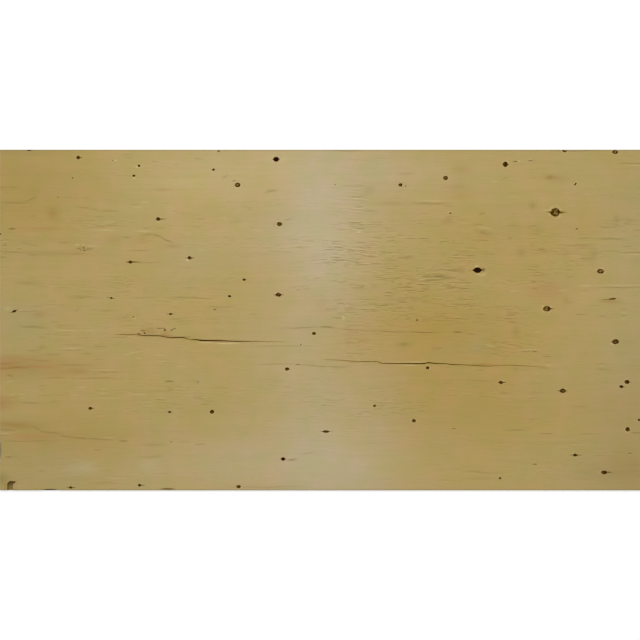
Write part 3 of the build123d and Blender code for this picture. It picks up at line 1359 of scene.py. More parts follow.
    def drift_at(self, places: np.ndarray) -> np.ndarray:
        """Bends the grain round each knot, as the wood grew.

        Args:
            places: Points in millimetres, one row each.

        Returns:
            One shift in metres for each point.
        """
        drift = np.zeros((len(places), 3))
        for knot in self.knots:
            along, across = offsets(places, knot)
            near = np.exp(-(along / (knot.length * self.bend_along)) ** 2)
            push = (knot.width * self.bend_width) ** 2 * near
            straight = np.sqrt(np.maximum(across ** 2 - push, 0.0)) - np.abs(across)
            fading = np.exp(-(across / (knot.width * self.bend_across)) ** 2)
            drift[:, 1] += np.sign(across) * straight * fading * MM
        return drift

    def seat_knots(self, mesh: bpy.types.Mesh) -> None:
        """Gives the corners of each face their place in the nearest knot, and how that knot looks.

        Args:
            mesh: The veneer's mesh.
        """
        owner, spots, middles = mesh_corners(mesh)
        nearest = np.full(len(middles), 1.0)
        spot, look = np.full((len(spots), 3), OUTSIDE), np.zeros((len(spots), 4))
        look[:, 2] = 1.0
        for knot in self.knots:
            half_length, half_width = knot.length / 2, knot.width / 2
            reach_left, reach_right = (1 + max(tail, self.least_tail) / half_length
                                       for tail in (knot.tail_left, knot.tail_right))
            along, across = offsets(middles, knot)
            reach = np.where(along < 0, reach_left, reach_right)
            far = np.hypot(along / (half_length * (reach + self.knot_past_tail)),
                           across / (half_width * self.knot_reach_across))
            chosen = claim(nearest, far, owner)
            along, across = offsets(spots[chosen], knot)
            spot[chosen] = np.column_stack((along / half_length, across / half_width, np.zeros(len(along))))
            side = reach[owner[chosen]]
            look[chosen] = np.column_stack((np.full(len(side), knot.look.heart),
                                            np.full(len(side), knot.strength), side, np.ones(len(side))))
        store(mesh, "knot_place", "FLOAT_VECTOR", "CORNER", spot)
        store(mesh, "knot_look", "FLOAT_COLOR", "CORNER", look)

    def seat_streaks(self, mesh: bpy.types.Mesh) -> None:
        """Gives the corners of each face their place in the nearest thin streak, and its tint.

        Args:
            mesh: The veneer's mesh.
        """
        owner, spots, middles = mesh_corners(mesh)
        nearest = np.full(len(middles), 1.0)
        spot, tint = np.full((len(spots), 3), (OUTSIDE, OUTSIDE, 0.0)), np.ones((len(spots), 4))
        for stain in (stain for stain in self.stains if stain.fine):
            along, across = offsets(middles, stain)
            reach_along = self.streak_reach_along * stain.reach_along + self.cell_along
            reach_across = self.streak_reach_across * stain.reach_across + self.cell_across
            far = np.maximum(np.abs(along) / reach_along, np.abs(across) / reach_across)
            chosen = claim(nearest, far, owner)
            along, across = offsets(spots[chosen], stain)
            spot[chosen] = np.column_stack((along / stain.reach_along, across / stain.reach_across,
                                            np.full(len(along), stain.strength)))
            tint[chosen] = linear(stain.tint.value)
        store(mesh, "streak_place", "FLOAT_VECTOR", "CORNER", spot)
        store(mesh, "streak_tint", "FLOAT_COLOR", "CORNER", tint)

    def raise_grain(self, mesh: bpy.types.Mesh, places: np.ndarray, openness: np.ndarray) -> None:
        """Gives the shown side its relief.

        Args:
            mesh: The veneer's mesh.
            places: Its points in millimetres, one row each.
            openness: Each point's distance from the nearest opening.
        """
        heights = self.relief.heights(places, openness, self.knots)
        shown = np.abs(places[:, 2] - self.shown) < self.shown_reach
        points = places * MM + np.array(SHEET_LOW)
        points[:, 2] += np.where(shown, heights * MM * self.shown_up, 0.0)
        mesh.vertices.foreach_set("co", points.ravel())
        mesh.update()


# Short names for the looks and tints in the lists of marks.
RINGED, FLECKED, DARK = KnotLook
SAPWOOD, LIFTED, CREAM, GREYED, HEARTWOOD, WEATHERED, BLUSH, RUSSET, OLIVE, BARK, RESIN, DIRT = WoodTint

# The face's dead knots.
FACE_KNOTS = (
    # Ringed knots
    Knot(1988, 995, 33, 31, RINGED, 18, 28),
    Knot(1958, 650, 28, 19, RINGED, 3, 16),
    Knot(2204, 532, 25, 18, FLECKED, 10, 6),
    Knot(2150, 784, 24, 17, RINGED, 6, 6),
    Knot(2015, 356, 21, 16, FLECKED, 14, 10),
    Knot(1000, 953, 18, 15, FLECKED, 3, 9),
    Knot(997, 700, 19, 15, FLECKED, 12, 12),
    Knot(851, 1093, 20, 17, RINGED),
    Knot(1595, 1118, 17, 16, RINGED, 3, 3),
    Knot(2202, 1211, 20, 15, RINGED, 2, 9),
    Knot(2022, 1217, 18, 14, RINGED),
    # Dark knots on the left
    Knot(280, 1191, 14, 13, DARK, 0, 12),
    Knot(566, 971, 15, 13, DARK, 0, 28),
    Knot(467, 817, 14, 12, DARK, 16, 40),
    Knot(679, 832, 15, 12, DARK, 12, 14),
    Knot(498, 1162, 9, 10, DARK, 3, 0),
    Knot(479, 1126, 11, 8),
    Knot(764, 1148, 10, 8, DARK, 0, 6),
    Knot(822, 695, 12, 9),
    Knot(874, 754, 12, 9),
    Knot(399, 688, 10, 7, DARK, 20, 14, tilt=-8),
    Knot(611, 631, 13, 8, DARK, 16, 13),
    Knot(51, 641, 17, 9, DARK, 14, 14, tilt=22, strength=0.9),
    Knot(324, 293, 16, 11, DARK, 3, 8),
    Knot(607, 280, 12, 9, strength=0.85),
    Knot(759, 281, 16, 14),
    Knot(253, 10, 10, 10, DARK, 14, 18),
    Knot(500, 18, 12, 10, DARK, 4, 20),
    Knot(854, 13, 16, 12, DARK, 6, 4),
    Knot(104, 1218, 16, 8, DARK, 4, 20, strength=0.85),
    # Dark knots in the middle
    Knot(1434, 1093, 14, 12),
    Knot(1124, 561, 14, 12),
    Knot(1028, 434, 16, 12, DARK, 3, 10),
    Knot(1531, 438, 14, 11),
    Knot(1167, 210, 24, 9, DARK, 16, 14),
    Knot(1341, 302, 11, 9),
    Knot(1482, 249, 14, 12),
    # Dark knots on the right
    Knot(1809, 1167, 19, 19, DARK, 0, 8),
    Knot(2060, 1096, 12, 6, tilt=55, strength=0.9),
    Knot(2193, 685, 26, 8, DARK, 44, 6, tilt=5, strength=0.75),
    Knot(1793, 386, 14, 12, DARK, 8, 20),
    Knot(2245, 388, 18, 15, DARK, 0, 10, tilt=-8),
    Knot(2225, 371, 15, 11, DARK, 4, 12, tilt=-6),
    Knot(2247, 218, 16, 15, DARK, 0, 4),
    Knot(2288, 252, 10, 9),
    Knot(2060, 126, 16, 10, DARK, 16, 26),
    Knot(2163, 64, 21, 14, DARK, 3, 26),
    Knot(1790, 43, 9, 9, strength=0.8),
    # Pin knots
    Knot(260, 1118, 5, 7, strength=0.6),
    Knot(1, 918, 7, 7, strength=0.7),
    Knot(769, 647, 7, 6, strength=0.6),
    Knot(478, 620, 6, 7, strength=0.55),
    Knot(613, 173, 7, 5, strength=0.4),
    Knot(783, 1214, 9, 8, strength=0.6),
    Knot(1077, 521, 5, 6, strength=0.5),
    Knot(1200, 1095, 5, 4, strength=0.5),
    Knot(1452, 1089, 6, 4, strength=0.7),
    Knot(1613, 992, 8, 8, strength=0.75),
    Knot(1493, 609, 6, 8, strength=0.65),
    Knot(2065, 936, 5, 8, strength=0.55),
    # Bark specks and slivers over the left split
    Knot(590, 574, 7, 10, strength=0.75),
    Knot(575, 580, 32, 4, strength=0.45),
    Knot(614, 573, 8, 6, strength=0.5),
    Knot(624, 578, 16, 4, tilt=15, strength=0.45),
    Knot(512, 572, 22, 4, strength=0.45),
    Knot(518, 563, 10, 6, DARK, 4, 0, tilt=-30, strength=0.7),
    Knot(498, 560, 16, 6, DARK, 4, 0, tilt=-10, strength=0.5),
    # Fallen knots: nothing is drawn, but the grain bends round their holes
    Knot(1711, 788, 40, 22, strength=0.0),
    Knot(990, 1185, 28, 18, strength=0.0),
    Knot(1015, 112, 22, 14, strength=0.0),
    # Ghosts of knots that lie just under the face
    Knot(42, 936, 24, 7, DARK, 8, 14, strength=0.3),
    Knot(299, 868, 6, 6, strength=0.5),
    Knot(301, 858, 7, 5, DARK, 0, 10, strength=0.75),
    Knot(289, 860, 7, 5, strength=0.35),
    Knot(282, 866, 13, 6, DARK, 5, 0, strength=0.28),
    Knot(404, 1181, 5, 4, strength=0.4),
    Knot(208, 1049, 6, 5, strength=0.35),
    Knot(30, 119, 28, 6, strength=0.22),
    Knot(709, 388, 6, 14, strength=0.22),
    Knot(1066, 450, 16, 4, strength=0.4),
    Knot(1731, 790, 14, 16, strength=0.35),
    Knot(1845, 1177, 18, 5, strength=0.45),
    Knot(1899, 1180, 16, 5, DARK, 0, 20, strength=0.4),
    Knot(1914, 496, 18, 4, strength=0.3),
    Knot(1625, 221, 14, 4, strength=0.4),
    Knot(2255, 132, 18, 5, strength=0.3),
    Knot(1914, 93, 20, 5, strength=0.35),
)

# The face's broad changes of colour, from pale sapwood to warm heartwood and weathered ends, with a painted
# sheen in a band across its middle.
BROAD_TINTS = (
    # The first five are painted sheen: a pale band of glare across the middle of the sheet, laid into the
    # wood's colour as sapwood
    Stain(1150, 930, 180, 330, SAPWOOD, 0.9),
    Stain(1140, 1170, 330, 80, SAPWOOD, 0.45),
    Stain(1120, 420, 180, 260, SAPWOOD, 0.4),
    Stain(1340, 380, 130, 130, SAPWOOD, 0.3),
    Stain(1190, 90, 250, 200, SAPWOOD, 0.75),
    Stain(750, 90, 380, 110, SAPWOOD, 0.4),
    Stain(750, 1120, 330, 150, CREAM, 0.35),
    Stain(1640, 560, 380, 190, HEARTWOOD, 0.8),
    Stain(1720, 300, 380, 160, HEARTWOOD, 0.6),
    Stain(1880, 840, 340, 170, HEARTWOOD, 0.6),
    Stain(60, 1080, 260, 200, HEARTWOOD, 0.6),
    Stain(220, 180, 330, 110, HEARTWOOD, 0.5),
    Stain(120, 60, 240, 90, GREYED, 0.4),
    Stain(70, 620, 160, 90, GREYED, 0.4),
    Stain(2290, 820, 110, 420, GREYED, 0.5),
    Stain(2260, 260, 170, 260, WEATHERED, 0.45),
    Stain(770, 880, 200, 120, SAPWOOD, 0.2),
    Stain(1450, 1120, 170, 90, SAPWOOD, 0.25),
    Stain(2230, 430, 120, 90, GREYED, 0.3),
    Stain(2250, 60, 170, 60, WEATHERED, 0.6),
    Stain(1950, 790, 420, 120, CREAM, 0.1),
    Stain(2050, 560, 520, 600, CREAM, 0.1),
    Stain(60, 440, 260, 40, RUSSET, 0.35),
)

# Streaks and smudges that the grain, the sap and handling left on the face.
STREAKS = (
    # Far left, from the far edge down
    Stain(60, 1208, 120, 10, WEATHERED, 0.35),
    Stain(458, 1201, 20, 2.5, OLIVE, 0.35),
    Stain(462, 1190, 13, 2.5, OLIVE, 0.3),
    Stain(553, 1177, 13, 2, OLIVE, 0.4),
    Stain(655, 1102, 80, 14, CREAM, 0.3),
    Stain(12, 1085, 18, 4, RUSSET, 0.4),
    Stain(50, 1084, 18, 2.5, OLIVE, 0.35),
    Stain(580, 1076, 36, 6, OLIVE, 0.22),
    Stain(119, 1075, 7, 30, OLIVE, 0.3),
    Stain(55, 1029, 48, 3.5, OLIVE, 0.4),
    Stain(106, 1040, 24, 3.5, OLIVE, 0.4, 25),
    Stain(240, 1049, 32, 2.5, OLIVE, 0.3, -5),
    Stain(307, 1047, 13, 2.5, OLIVE, 0.35),
    Stain(483, 1023, 15, 3, OLIVE, 0.35),
    Stain(300, 1012, 26, 3, OLIVE, 0.35, -8),
    Stain(340, 1005, 16, 3, OLIVE, 0.4),
    Stain(390, 1000, 36, 3.5, OLIVE, 0.4, -2),
    Stain(190, 990, 20, 22, RUSSET, 0.4),
    Stain(119, 981, 12, 3, OLIVE, 0.3),
    Stain(396, 960, 20, 2.5, CREAM, 0.4),
    Stain(396, 948, 20, 2.5, OLIVE, 0.4),
    Stain(355, 941, 32, 3, BLUSH, 0.4),
    Stain(367, 932, 42, 3, CREAM, 0.5),
    Stain(150, 936, 80, 8, RUSSET, 0.3),
    Stain(525, 939, 15, 4, OLIVE, 0.3),
    Stain(575, 938, 16, 3, OLIVE, 0.3),
    Stain(530, 914, 26, 4, OLIVE, 0.45, 2),
    Stain(564, 910, 18, 4, OLIVE, 0.5, -12),
    Stain(594, 898, 26, 4, OLIVE, 0.5, -21),
    Stain(453, 905, 14, 4, OLIVE, 0.4),
    Stain(405, 896, 30, 14, BLUSH, 0.25),
    Stain(505, 896, 26, 14, BLUSH, 0.25),
    Stain(232, 887, 22, 3.5, OLIVE, 0.35),
    Stain(106, 881, 24, 3, OLIVE, 0.35, -14),
    Stain(277, 877, 8, 4, CREAM, 0.6),
    Stain(299, 880, 6, 3, CREAM, 0.5),
    Stain(332, 876, 22, 3, CREAM, 0.5),
    Stain(298, 865, 26, 8, OLIVE, 0.25),
    Stain(319, 865, 15, 4, OLIVE, 0.45, 6),
    Stain(280, 847, 32, 3, OLIVE, 0.3),
    Stain(500, 860, 36, 3, OLIVE, 0.4),
    Stain(180, 847, 130, 10, OLIVE, 0.22),
    Stain(119, 843, 16, 4, OLIVE, 0.3),
    Stain(8, 833, 14, 3.5, RUSSET, 0.5),
    Stain(520, 815, 50, 3, OLIVE, 0.3),
    Stain(100, 742, 50, 7, OLIVE, 0.3, -4),
    Stain(300, 693, 50, 3, OLIVE, 0.35),
    Stain(510, 689, 45, 3, OLIVE, 0.35),
    Stain(680, 689, 75, 3, OLIVE, 0.45),
    Stain(790, 656, 45, 4, OLIVE, 0.35),
    Stain(30, 650, 14, 8, CREAM, 0.4),
    Stain(100, 641, 42, 3, OLIVE, 0.35),
    Stain(142, 629, 24, 10, RUSSET, 0.35),
    Stain(714, 1205, 16, 2.5, CREAM, 0.35),
    Stain(710, 1186, 12, 2.5, OLIVE, 0.3),
    Stain(414, 1181, 4, 3, LIFTED, 0.5),
    Stain(490, 1155, 4, 4, LIFTED, 0.4),
    Stain(480, 1116, 4, 4, LIFTED, 0.45),
    Stain(806, 1123, 12, 5, OLIVE, 0.3, 30),
    Stain(838, 1108, 6, 3, BARK, 0.45),
    Stain(519, 1032, 14, 3, CREAM, 0.4),
    Stain(496, 1013, 16, 3, CREAM, 0.3),
    Stain(608, 1002, 8, 14, CREAM, 0.25),
    Stain(720, 972, 14, 3, OLIVE, 0.35),
    Stain(801, 973, 12, 4, CREAM, 0.25),
    Stain(568, 959, 8, 3, CREAM, 0.4),
    Stain(704, 943, 12, 2.5, OLIVE, 0.25),
    Stain(517, 927, 28, 3, CREAM, 0.45),
    Stain(668, 921, 20, 3, CREAM, 0.35, -8),
    Stain(14, 890, 16, 2.5, CREAM, 0.35),
    Stain(11, 875, 16, 2.5, OLIVE, 0.35),
    Stain(618, 873, 24, 8, OLIVE, 0.25),
    Stain(722, 858, 12, 5, CREAM, 0.4),
    Stain(671, 825, 6, 4, LIFTED, 0.4),
    Stain(72, 645, 10, 3, CREAM, 0.45),
    Stain(277, 647, 14, 3, OLIVE, 0.3, 35),
    Stain(377, 641, 20, 3.5, OLIVE, 0.3),
    Stain(440, 617, 12, 8, OLIVE, 0.2),
    Stain(480, 614, 6, 3, LIFTED, 0.4),
    # Near left
    Stain(194, 602, 12, 2.5, OLIVE, 0.25),
    Stain(214, 590, 12, 2.5, OLIVE, 0.35),
    Stain(172, 559, 16, 2.5, OLIVE, 0.3),
    Stain(150, 547, 16, 4, OLIVE, 0.25),
    Stain(150, 513, 16, 8, OLIVE, 0.3),
    Stain(356, 514, 24, 3, OLIVE, 0.35),
    Stain(494, 504, 12, 2.5, OLIVE, 0.3),
    Stain(471, 490, 30, 3.5, CREAM, 0.45, 14),
    Stain(312, 489, 14, 3, OLIVE, 0.3),
    Stain(191, 485, 24, 3, OLIVE, 0.35),
    Stain(572, 484, 18, 2.5, CREAM, 0.3),
    Stain(496, 473, 10, 3, CREAM, 0.4),
    Stain(352, 469, 14, 3, OLIVE, 0.25),
    Stain(593, 462, 16, 2.5, CREAM, 0.4),
    Stain(598, 456, 16, 2.5, OLIVE, 0.3),
    Stain(649, 444, 16, 2.5, CREAM, 0.4),
    Stain(34, 389, 12, 3, CREAM, 0.4),
    Stain(152, 374, 14, 2.5, OLIVE, 0.3),
    Stain(152, 361, 14, 2.5, OLIVE, 0.25),
    Stain(292, 369, 12, 3, CREAM, 0.4),
    Stain(377, 361, 14, 3, CREAM, 0.3, 8),
    Stain(606, 360, 6, 12, RUSSET, 0.3),
    Stain(366, 346, 16, 3, CREAM, 0.3),
    Stain(44, 343, 10, 2.5, CREAM, 0.3),
    Stain(78, 343, 12, 2.5, CREAM, 0.3),
    Stain(263, 342, 16, 2.5, CREAM, 0.3),
    Stain(498, 343, 32, 2.5, CREAM, 0.45),
    Stain(568, 342, 20, 2.5, CREAM, 0.3),
    Stain(80, 330, 14, 2.5, CREAM, 0.3),
    Stain(378, 329, 54, 2.5, CREAM, 0.35),
    Stain(568, 330, 20, 2.5, CREAM, 0.25),
    Stain(524, 314, 22, 2.5, CREAM, 0.3),
    Stain(535, 300, 16, 3, CREAM, 0.35),
    Stain(118, 582, 42, 5, OLIVE, 0.45, -4),
    Stain(242, 572, 42, 2.5, CREAM, 0.55),
    Stain(315, 573, 24, 2.5, CREAM, 0.45),
    Stain(255, 522, 34, 3, OLIVE, 0.35),
    Stain(262, 509, 36, 2.5, CREAM, 0.45),
    Stain(258, 502, 38, 2.5, OLIVE, 0.4),
    Stain(121, 499, 22, 3, OLIVE, 0.4),
    Stain(45, 466, 95, 18, BLUSH, 0.28),
    Stain(62, 474, 30, 2.5, BLUSH, 0.35),
    Stain(150, 463, 26, 3, RUSSET, 0.45),
    Stain(15, 452, 40, 6, RUSSET, 0.5),
    Stain(50, 438, 75, 5, RUSSET, 0.65),
    Stain(140, 441, 60, 4.5, BLUSH, 0.6),
    Stain(275, 448, 66, 3, OLIVE, 0.4),
    Stain(285, 426, 40, 11, RUSSET, 0.35),
    Stain(370, 431, 56, 2.5, CREAM, 0.4),
    Stain(390, 425, 42, 3.5, OLIVE, 0.45),
    Stain(35, 411, 11, 5, OLIVE, 0.45, -20),
    Stain(200, 403, 34, 3, OLIVE, 0.35),
    Stain(345, 401, 80, 3.5, RUSSET, 0.45),
    Stain(606, 388, 15, 4, BARK, 0.5),
    Stain(4, 312, 44, 26, RUSSET, 0.42),
    Stain(110, 313, 36, 4, OLIVE, 0.3),
    Stain(193, 317, 12, 3, OLIVE, 0.35),
    Stain(733, 307, 15, 2.5, OLIVE, 0.45),
    Stain(45, 234, 80, 13, RUSSET, 0.5, -4),
    Stain(20, 217, 34, 5, OLIVE, 0.5),
    Stain(131, 219, 20, 4.5, OLIVE, 0.32, -28),
    Stain(178, 207, 44, 4.5, OLIVE, 0.4, -3),
    Stain(12, 204, 20, 2.5, CREAM, 0.5),
    Stain(8, 197, 18, 3, OLIVE, 0.4),
    Stain(118, 192, 110, 14, BLUSH, 0.32),
    Stain(236, 193, 22, 3, BARK, 0.28, -10),
    Stain(285, 187, 38, 3.5, BARK, 0.32, -3),
    Stain(95, 176, 100, 2.5, OLIVE, 0.45),
    Stain(355, 182, 56, 3, BARK, 0.26, -3),
    Stain(390, 188, 24, 2.5, CREAM, 0.35),
    Stain(442, 177, 15, 4, BARK, 0.3),
    Stain(548, 163, 36, 5.5, OLIVE, 0.3),
    Stain(661, 172, 20, 2.5, OLIVE, 0.35),
    Stain(716, 166, 22, 4, OLIVE, 0.35),
    Stain(350, 146, 14, 4, OLIVE, 0.3),
    Stain(545, 119, 38, 5, OLIVE, 0.3),
    Stain(305, 80, 50, 26, SAPWOOD, 0.45),
    Stain(530, 85, 40, 24, SAPWOOD, 0.4),
    Stain(150, 69, 12, 4, OLIVE, 0.35),
    Stain(1, 140, 2.2, 38, BARK, 0.8),
    Stain(410, 44, 36, 2.5, CREAM, 0.5),
    Stain(6, 40, 26, 22, OLIVE, 0.4),
    Stain(370, 27, 46, 3.5, RUSSET, 0.35),
    Stain(600, 4, 22, 4, BARK, 0.8),
    Stain(950, 12, 140, 3, OLIVE, 0.3),
    # Round the left split
    Stain(535, 570, 28, 16, RUSSET, 0.4),
    Stain(592, 560, 16, 12, RUSSET, 0.4),
    Stain(455, 558, 34, 2.5, BARK, 0.55),
    Stain(555, 554, 60, 3.5, BARK, 0.5),
    Stain(645, 547, 42, 3.5, BARK, 0.5),
    Stain(745, 538, 60, 3.5, BARK, 0.4),
    # Pale lines under the split: painted highlight where its lower lip catches the light
    Stain(735, 529, 24, 2.5, LIFTED, 0.8),
    Stain(815, 526, 40, 2.5, LIFTED, 0.6),
    Stain(1010, 516, 110, 2.5, OLIVE, 0.4),
    # Middle
    Stain(990, 1185, 46, 20, CREAM, 0.25),
    Stain(1030, 1187, 20, 6, CREAM, 0.3),
    Stain(1243, 1090, 16, 3, OLIVE, 0.25),
    Stain(1452, 1135, 28, 5, OLIVE, 0.25),
    Stain(895, 1005, 10, 3, OLIVE, 0.25),
    Stain(1330, 1001, 20, 3, OLIVE, 0.35, -6),
    Stain(1033, 970, 14, 4, OLIVE, 0.3, 20),
    Stain(866, 948, 18, 2.5, CREAM, 0.3, 8),
    Stain(1288, 937, 14, 2.5, OLIVE, 0.45),
    Stain(924, 931, 16, 2.5, CREAM, 0.35),
    Stain(1284, 924, 8, 3, LIFTED, 0.7),
    Stain(1298, 916, 8, 10, RUSSET, 0.3),
    Stain(897, 901, 14, 3, OLIVE, 0.25),
    Stain(1206, 891, 22, 2.5, OLIVE, 0.4),
    Stain(1292, 887, 18, 2.5, OLIVE, 0.45),
    Stain(1080, 879, 30, 2.5, CREAM, 0.35),
    Stain(1085, 872, 30, 2.5, OLIVE, 0.25),
    Stain(970, 1071, 22, 5, OLIVE, 0.4, 12),
    Stain(1320, 1075, 18, 16, OLIVE, 0.22),
    Stain(1200, 985, 6, 36, OLIVE, 0.2),
    Stain(1400, 1027, 60, 8, OLIVE, 0.22),
    Stain(1230, 1216, 60, 5, OLIVE, 0.4),
    Stain(1150, 652, 28, 30, BLUSH, 0.15),
    Stain(1243, 646, 8, 6, OLIVE, 0.4),
    Stain(908, 630, 15, 3, OLIVE, 0.3),
    Stain(1206, 617, 18, 3, OLIVE, 0.45),
    Stain(1228, 617, 5, 8, LIFTED, 0.5),
    Stain(1080, 582, 80, 2.5, OLIVE, 0.55, 1),
    Stain(1168, 583, 30, 3.5, OLIVE, 0.75, -2),
    Stain(1290, 574, 80, 2.5, OLIVE, 0.6, -4),
    Stain(1410, 568, 60, 2.5, BARK, 0.4, -2),
    Stain(1510, 565, 55, 2.5, BARK, 0.45, -2),
    Stain(1240, 535, 9, 26, OLIVE, 0.3),
    Stain(1297, 537, 18, 12, RUSSET, 0.25),
    Stain(1446, 522, 22, 8, OLIVE, 0.5),
    Stain(1565, 509, 18, 5, OLIVE, 0.35),
    Stain(990, 452, 60, 2.5, OLIVE, 0.5),
    Stain(1140, 444, 60, 2.5, OLIVE, 0.6, -5),
    Stain(1205, 442, 40, 2.5, OLIVE, 0.5),
    Stain(1470, 459, 60, 2.5, CREAM, 0.45),
    Stain(1470, 447, 40, 2.5, CREAM, 0.55),
    Stain(1045, 111, 16, 5, OLIVE, 0.5),
    Stain(1100, 132, 22, 2.5, OLIVE, 0.3, 6),
    # Far right
    Stain(1898, 1183, 7, 3, CREAM, 0.5),
    Stain(1858, 1178, 6, 2.5, CREAM, 0.5),
    Stain(1911, 1119, 20, 2.5, OLIVE, 0.2),
    Stain(1809, 1116, 12, 2.5, OLIVE, 0.25, 20),
    Stain(1769, 1105, 14, 3, CREAM, 0.35),
    Stain(2100, 1060, 14, 2.5, CREAM, 0.3),
    Stain(1841, 1049, 14, 2.5, CREAM, 0.3),
    Stain(2042, 1018, 14, 2.5, CREAM, 0.3),
    Stain(1955, 1003, 14, 3, CREAM, 0.5),
    Stain(1839, 990, 14, 2.5, OLIVE, 0.25),
    Stain(2208, 968, 12, 20, OLIVE, 0.25),
    Stain(2251, 966, 16, 14, OLIVE, 0.2),
    Stain(1657, 958, 16, 2.5, CREAM, 0.4),
    Stain(2284, 931, 16, 2.5, OLIVE, 0.4),
    Stain(1932, 930, 14, 8, OLIVE, 0.2),
    Stain(1947, 917, 14, 2.5, CREAM, 0.3),
    Stain(1683, 788, 12, 3, OLIVE, 0.3),
    Stain(2040, 787, 12, 2.5, OLIVE, 0.3),
    Stain(2040, 780, 10, 2.5, CREAM, 0.3),
    Stain(2042, 763, 12, 2.5, OLIVE, 0.3),
    Stain(2095, 716, 16, 2.5, OLIVE, 0.25),
    Stain(2015, 715, 14, 2.5, CREAM, 0.3),
    Stain(1745, 732, 12, 2.5, CREAM, 0.3),
    Stain(1797, 730, 12, 2.5, CREAM, 0.3),
    Stain(1840, 714, 14, 2.5, CREAM, 0.35),
    Stain(2043, 673, 12, 2.5, OLIVE, 0.25),
    Stain(2125, 661, 12, 2.5, OLIVE, 0.25),
    Stain(1640, 661, 13, 2.5, OLIVE, 0.35),
    Stain(1800, 658, 36, 2.5, OLIVE, 0.3),
    Stain(1717, 630, 16, 2.5, OLIVE, 0.35),
    Stain(1722, 617, 14, 2.5, OLIVE, 0.25),
    Stain(1825, 627, 14, 3, OLIVE, 0.35),
    Stain(1843, 616, 14, 2.5, OLIVE, 0.3),
    Stain(1885, 632, 14, 2.5, OLIVE, 0.25),
    Stain(1653, 1148, 34, 18, RUSSET, 0.22),
    Stain(1636, 1085, 42, 15, RUSSET, 0.22),
    Stain(1650, 1050, 46, 12, HEARTWOOD, 0.4),
    Stain(1545, 1036, 50, 2.5, CREAM, 0.35),
    Stain(1545, 1027, 60, 5, OLIVE, 0.45),
    Stain(1606, 1018, 15, 3, OLIVE, 0.4),
    Stain(1908, 1018, 7, 13, OLIVE, 0.35),
    Stain(1726, 989, 11, 4, OLIVE, 0.4, 15),
    Stain(1602, 966, 22, 12, OLIVE, 0.3, 25),
    Stain(1711, 950, 18, 3.5, OLIVE, 0.4),
    Stain(1735, 938, 24, 3, CREAM, 0.4, -8),
    Stain(1729, 922, 24, 7, OLIVE, 0.5, -16),
    Stain(1842, 946, 24, 2.5, OLIVE, 0.35),
    Stain(1905, 946, 18, 3, OLIVE, 0.4),
    Stain(1826, 903, 9, 4, OLIVE, 0.4),
    Stain(1580, 764, 45, 3.5, BARK, 0.6, 3),
    Stain(1540, 757, 70, 2.5, CREAM, 0.45, 4),
    Stain(1550, 751, 60, 3, OLIVE, 0.55, 4),
    Stain(1707, 803, 6, 5, LIFTED, 0.5),
    Stain(1714, 773, 9, 3, LIFTED, 0.35),
    Stain(1731, 772, 9, 3, LIFTED, 0.55, 20),
    Stain(1970, 1120, 18, 8, RUSSET, 0.75),
    Stain(2005, 1112, 30, 16, RUSSET, 0.25),
    Stain(2070, 1215, 80, 3, OLIVE, 0.5),
    Stain(2270, 1170, 44, 2.5, OLIVE, 0.6),
    Stain(2268, 1164, 36, 2.5, CREAM, 0.5),
    Stain(2184, 943, 30, 3, OLIVE, 0.45, 3),
    Stain(2097, 901, 26, 3, OLIVE, 0.45),
    Stain(2180, 900, 50, 4, OLIVE, 0.55),
    Stain(2063, 877, 55, 3, OLIVE, 0.4),
    Stain(2085, 871, 20, 8, BLUSH, 0.3),
    Stain(1869, 850, 13, 15, OLIVE, 0.3),
    Stain(2033, 848, 9, 15, RUSSET, 0.4),
    Stain(2124, 845, 15, 20, OLIVE, 0.25),
    Stain(2270, 851, 44, 3, OLIVE, 0.5),
    Stain(2264, 845, 40, 2.5, CREAM, 0.4),
    Stain(1914, 747, 10, 4, OLIVE, 0.4),
    Stain(1914, 724, 11, 3, OLIVE, 0.5),
    Stain(1965, 715, 60, 36, RUSSET, 0.25),
    Stain(2100, 733, 26, 2.5, CREAM, 0.45),
    Stain(2220, 733, 90, 3, CREAM, 0.5),
    Stain(2225, 727, 90, 2.5, OLIVE, 0.5),
    Stain(2033, 680, 11, 16, RUSSET, 0.3),
    Stain(2184, 677, 34, 9, RUSSET, 0.45),
    # Near right
    Stain(1838, 601, 14, 2.5, OLIVE, 0.3),
    Stain(1885, 590, 12, 2.5, OLIVE, 0.2),
    Stain(1910, 573, 8, 3, BLUSH, 0.25),
    Stain(1925, 566, 12, 2.5, CREAM, 0.3),
    Stain(1958, 478, 16, 2.5, OLIVE, 0.3),
    Stain(2030, 460, 12, 2.5, CREAM, 0.25),
    Stain(1962, 447, 10, 3, CREAM, 0.4),
    Stain(1950, 438, 18, 2.5, OLIVE, 0.35),
    Stain(1880, 430, 14, 2.5, OLIVE, 0.25),
    Stain(1603, 440, 10, 2.5, OLIVE, 0.3),
    Stain(2154, 443, 10, 3, CREAM, 0.25),
    Stain(2233, 648, 12, 2.5, OLIVE, 0.3),
    Stain(2233, 635, 12, 2.5, CREAM, 0.35),
    Stain(2233, 625, 12, 2.5, OLIVE, 0.35),
    Stain(2233, 613, 12, 2.5, CREAM, 0.25),
    Stain(1783, 531, 22, 3, OLIVE, 0.35),
    Stain(1755, 516, 16, 3, CREAM, 0.5, -12),
    Stain(1777, 501, 14, 2.5, OLIVE, 0.35),
    Stain(1772, 489, 16, 2.5, OLIVE, 0.35),
    Stain(2097, 489, 12, 2.5, OLIVE, 0.2),
    Stain(2080, 630, 18, 2.5, OLIVE, 0.5),
    Stain(2156, 623, 14, 3, OLIVE, 0.4),
    Stain(1638, 566, 15, 4, BARK, 0.5),
    Stain(1685, 560, 18, 3, OLIVE, 0.35),
    Stain(1842, 568, 7, 20, OLIVE, 0.45),
    Stain(1842, 433, 6, 15, OLIVE, 0.45),
    Stain(2026, 539, 14, 4, BLUSH, 0.2),
    Stain(1712, 510, 38, 22, GREYED, 0.4),
    Stain(1893, 503, 28, 2.5, CREAM, 0.5),
    Stain(1893, 497, 28, 3, OLIVE, 0.55),
    Stain(1735, 450, 36, 4.5, RUSSET, 0.6),
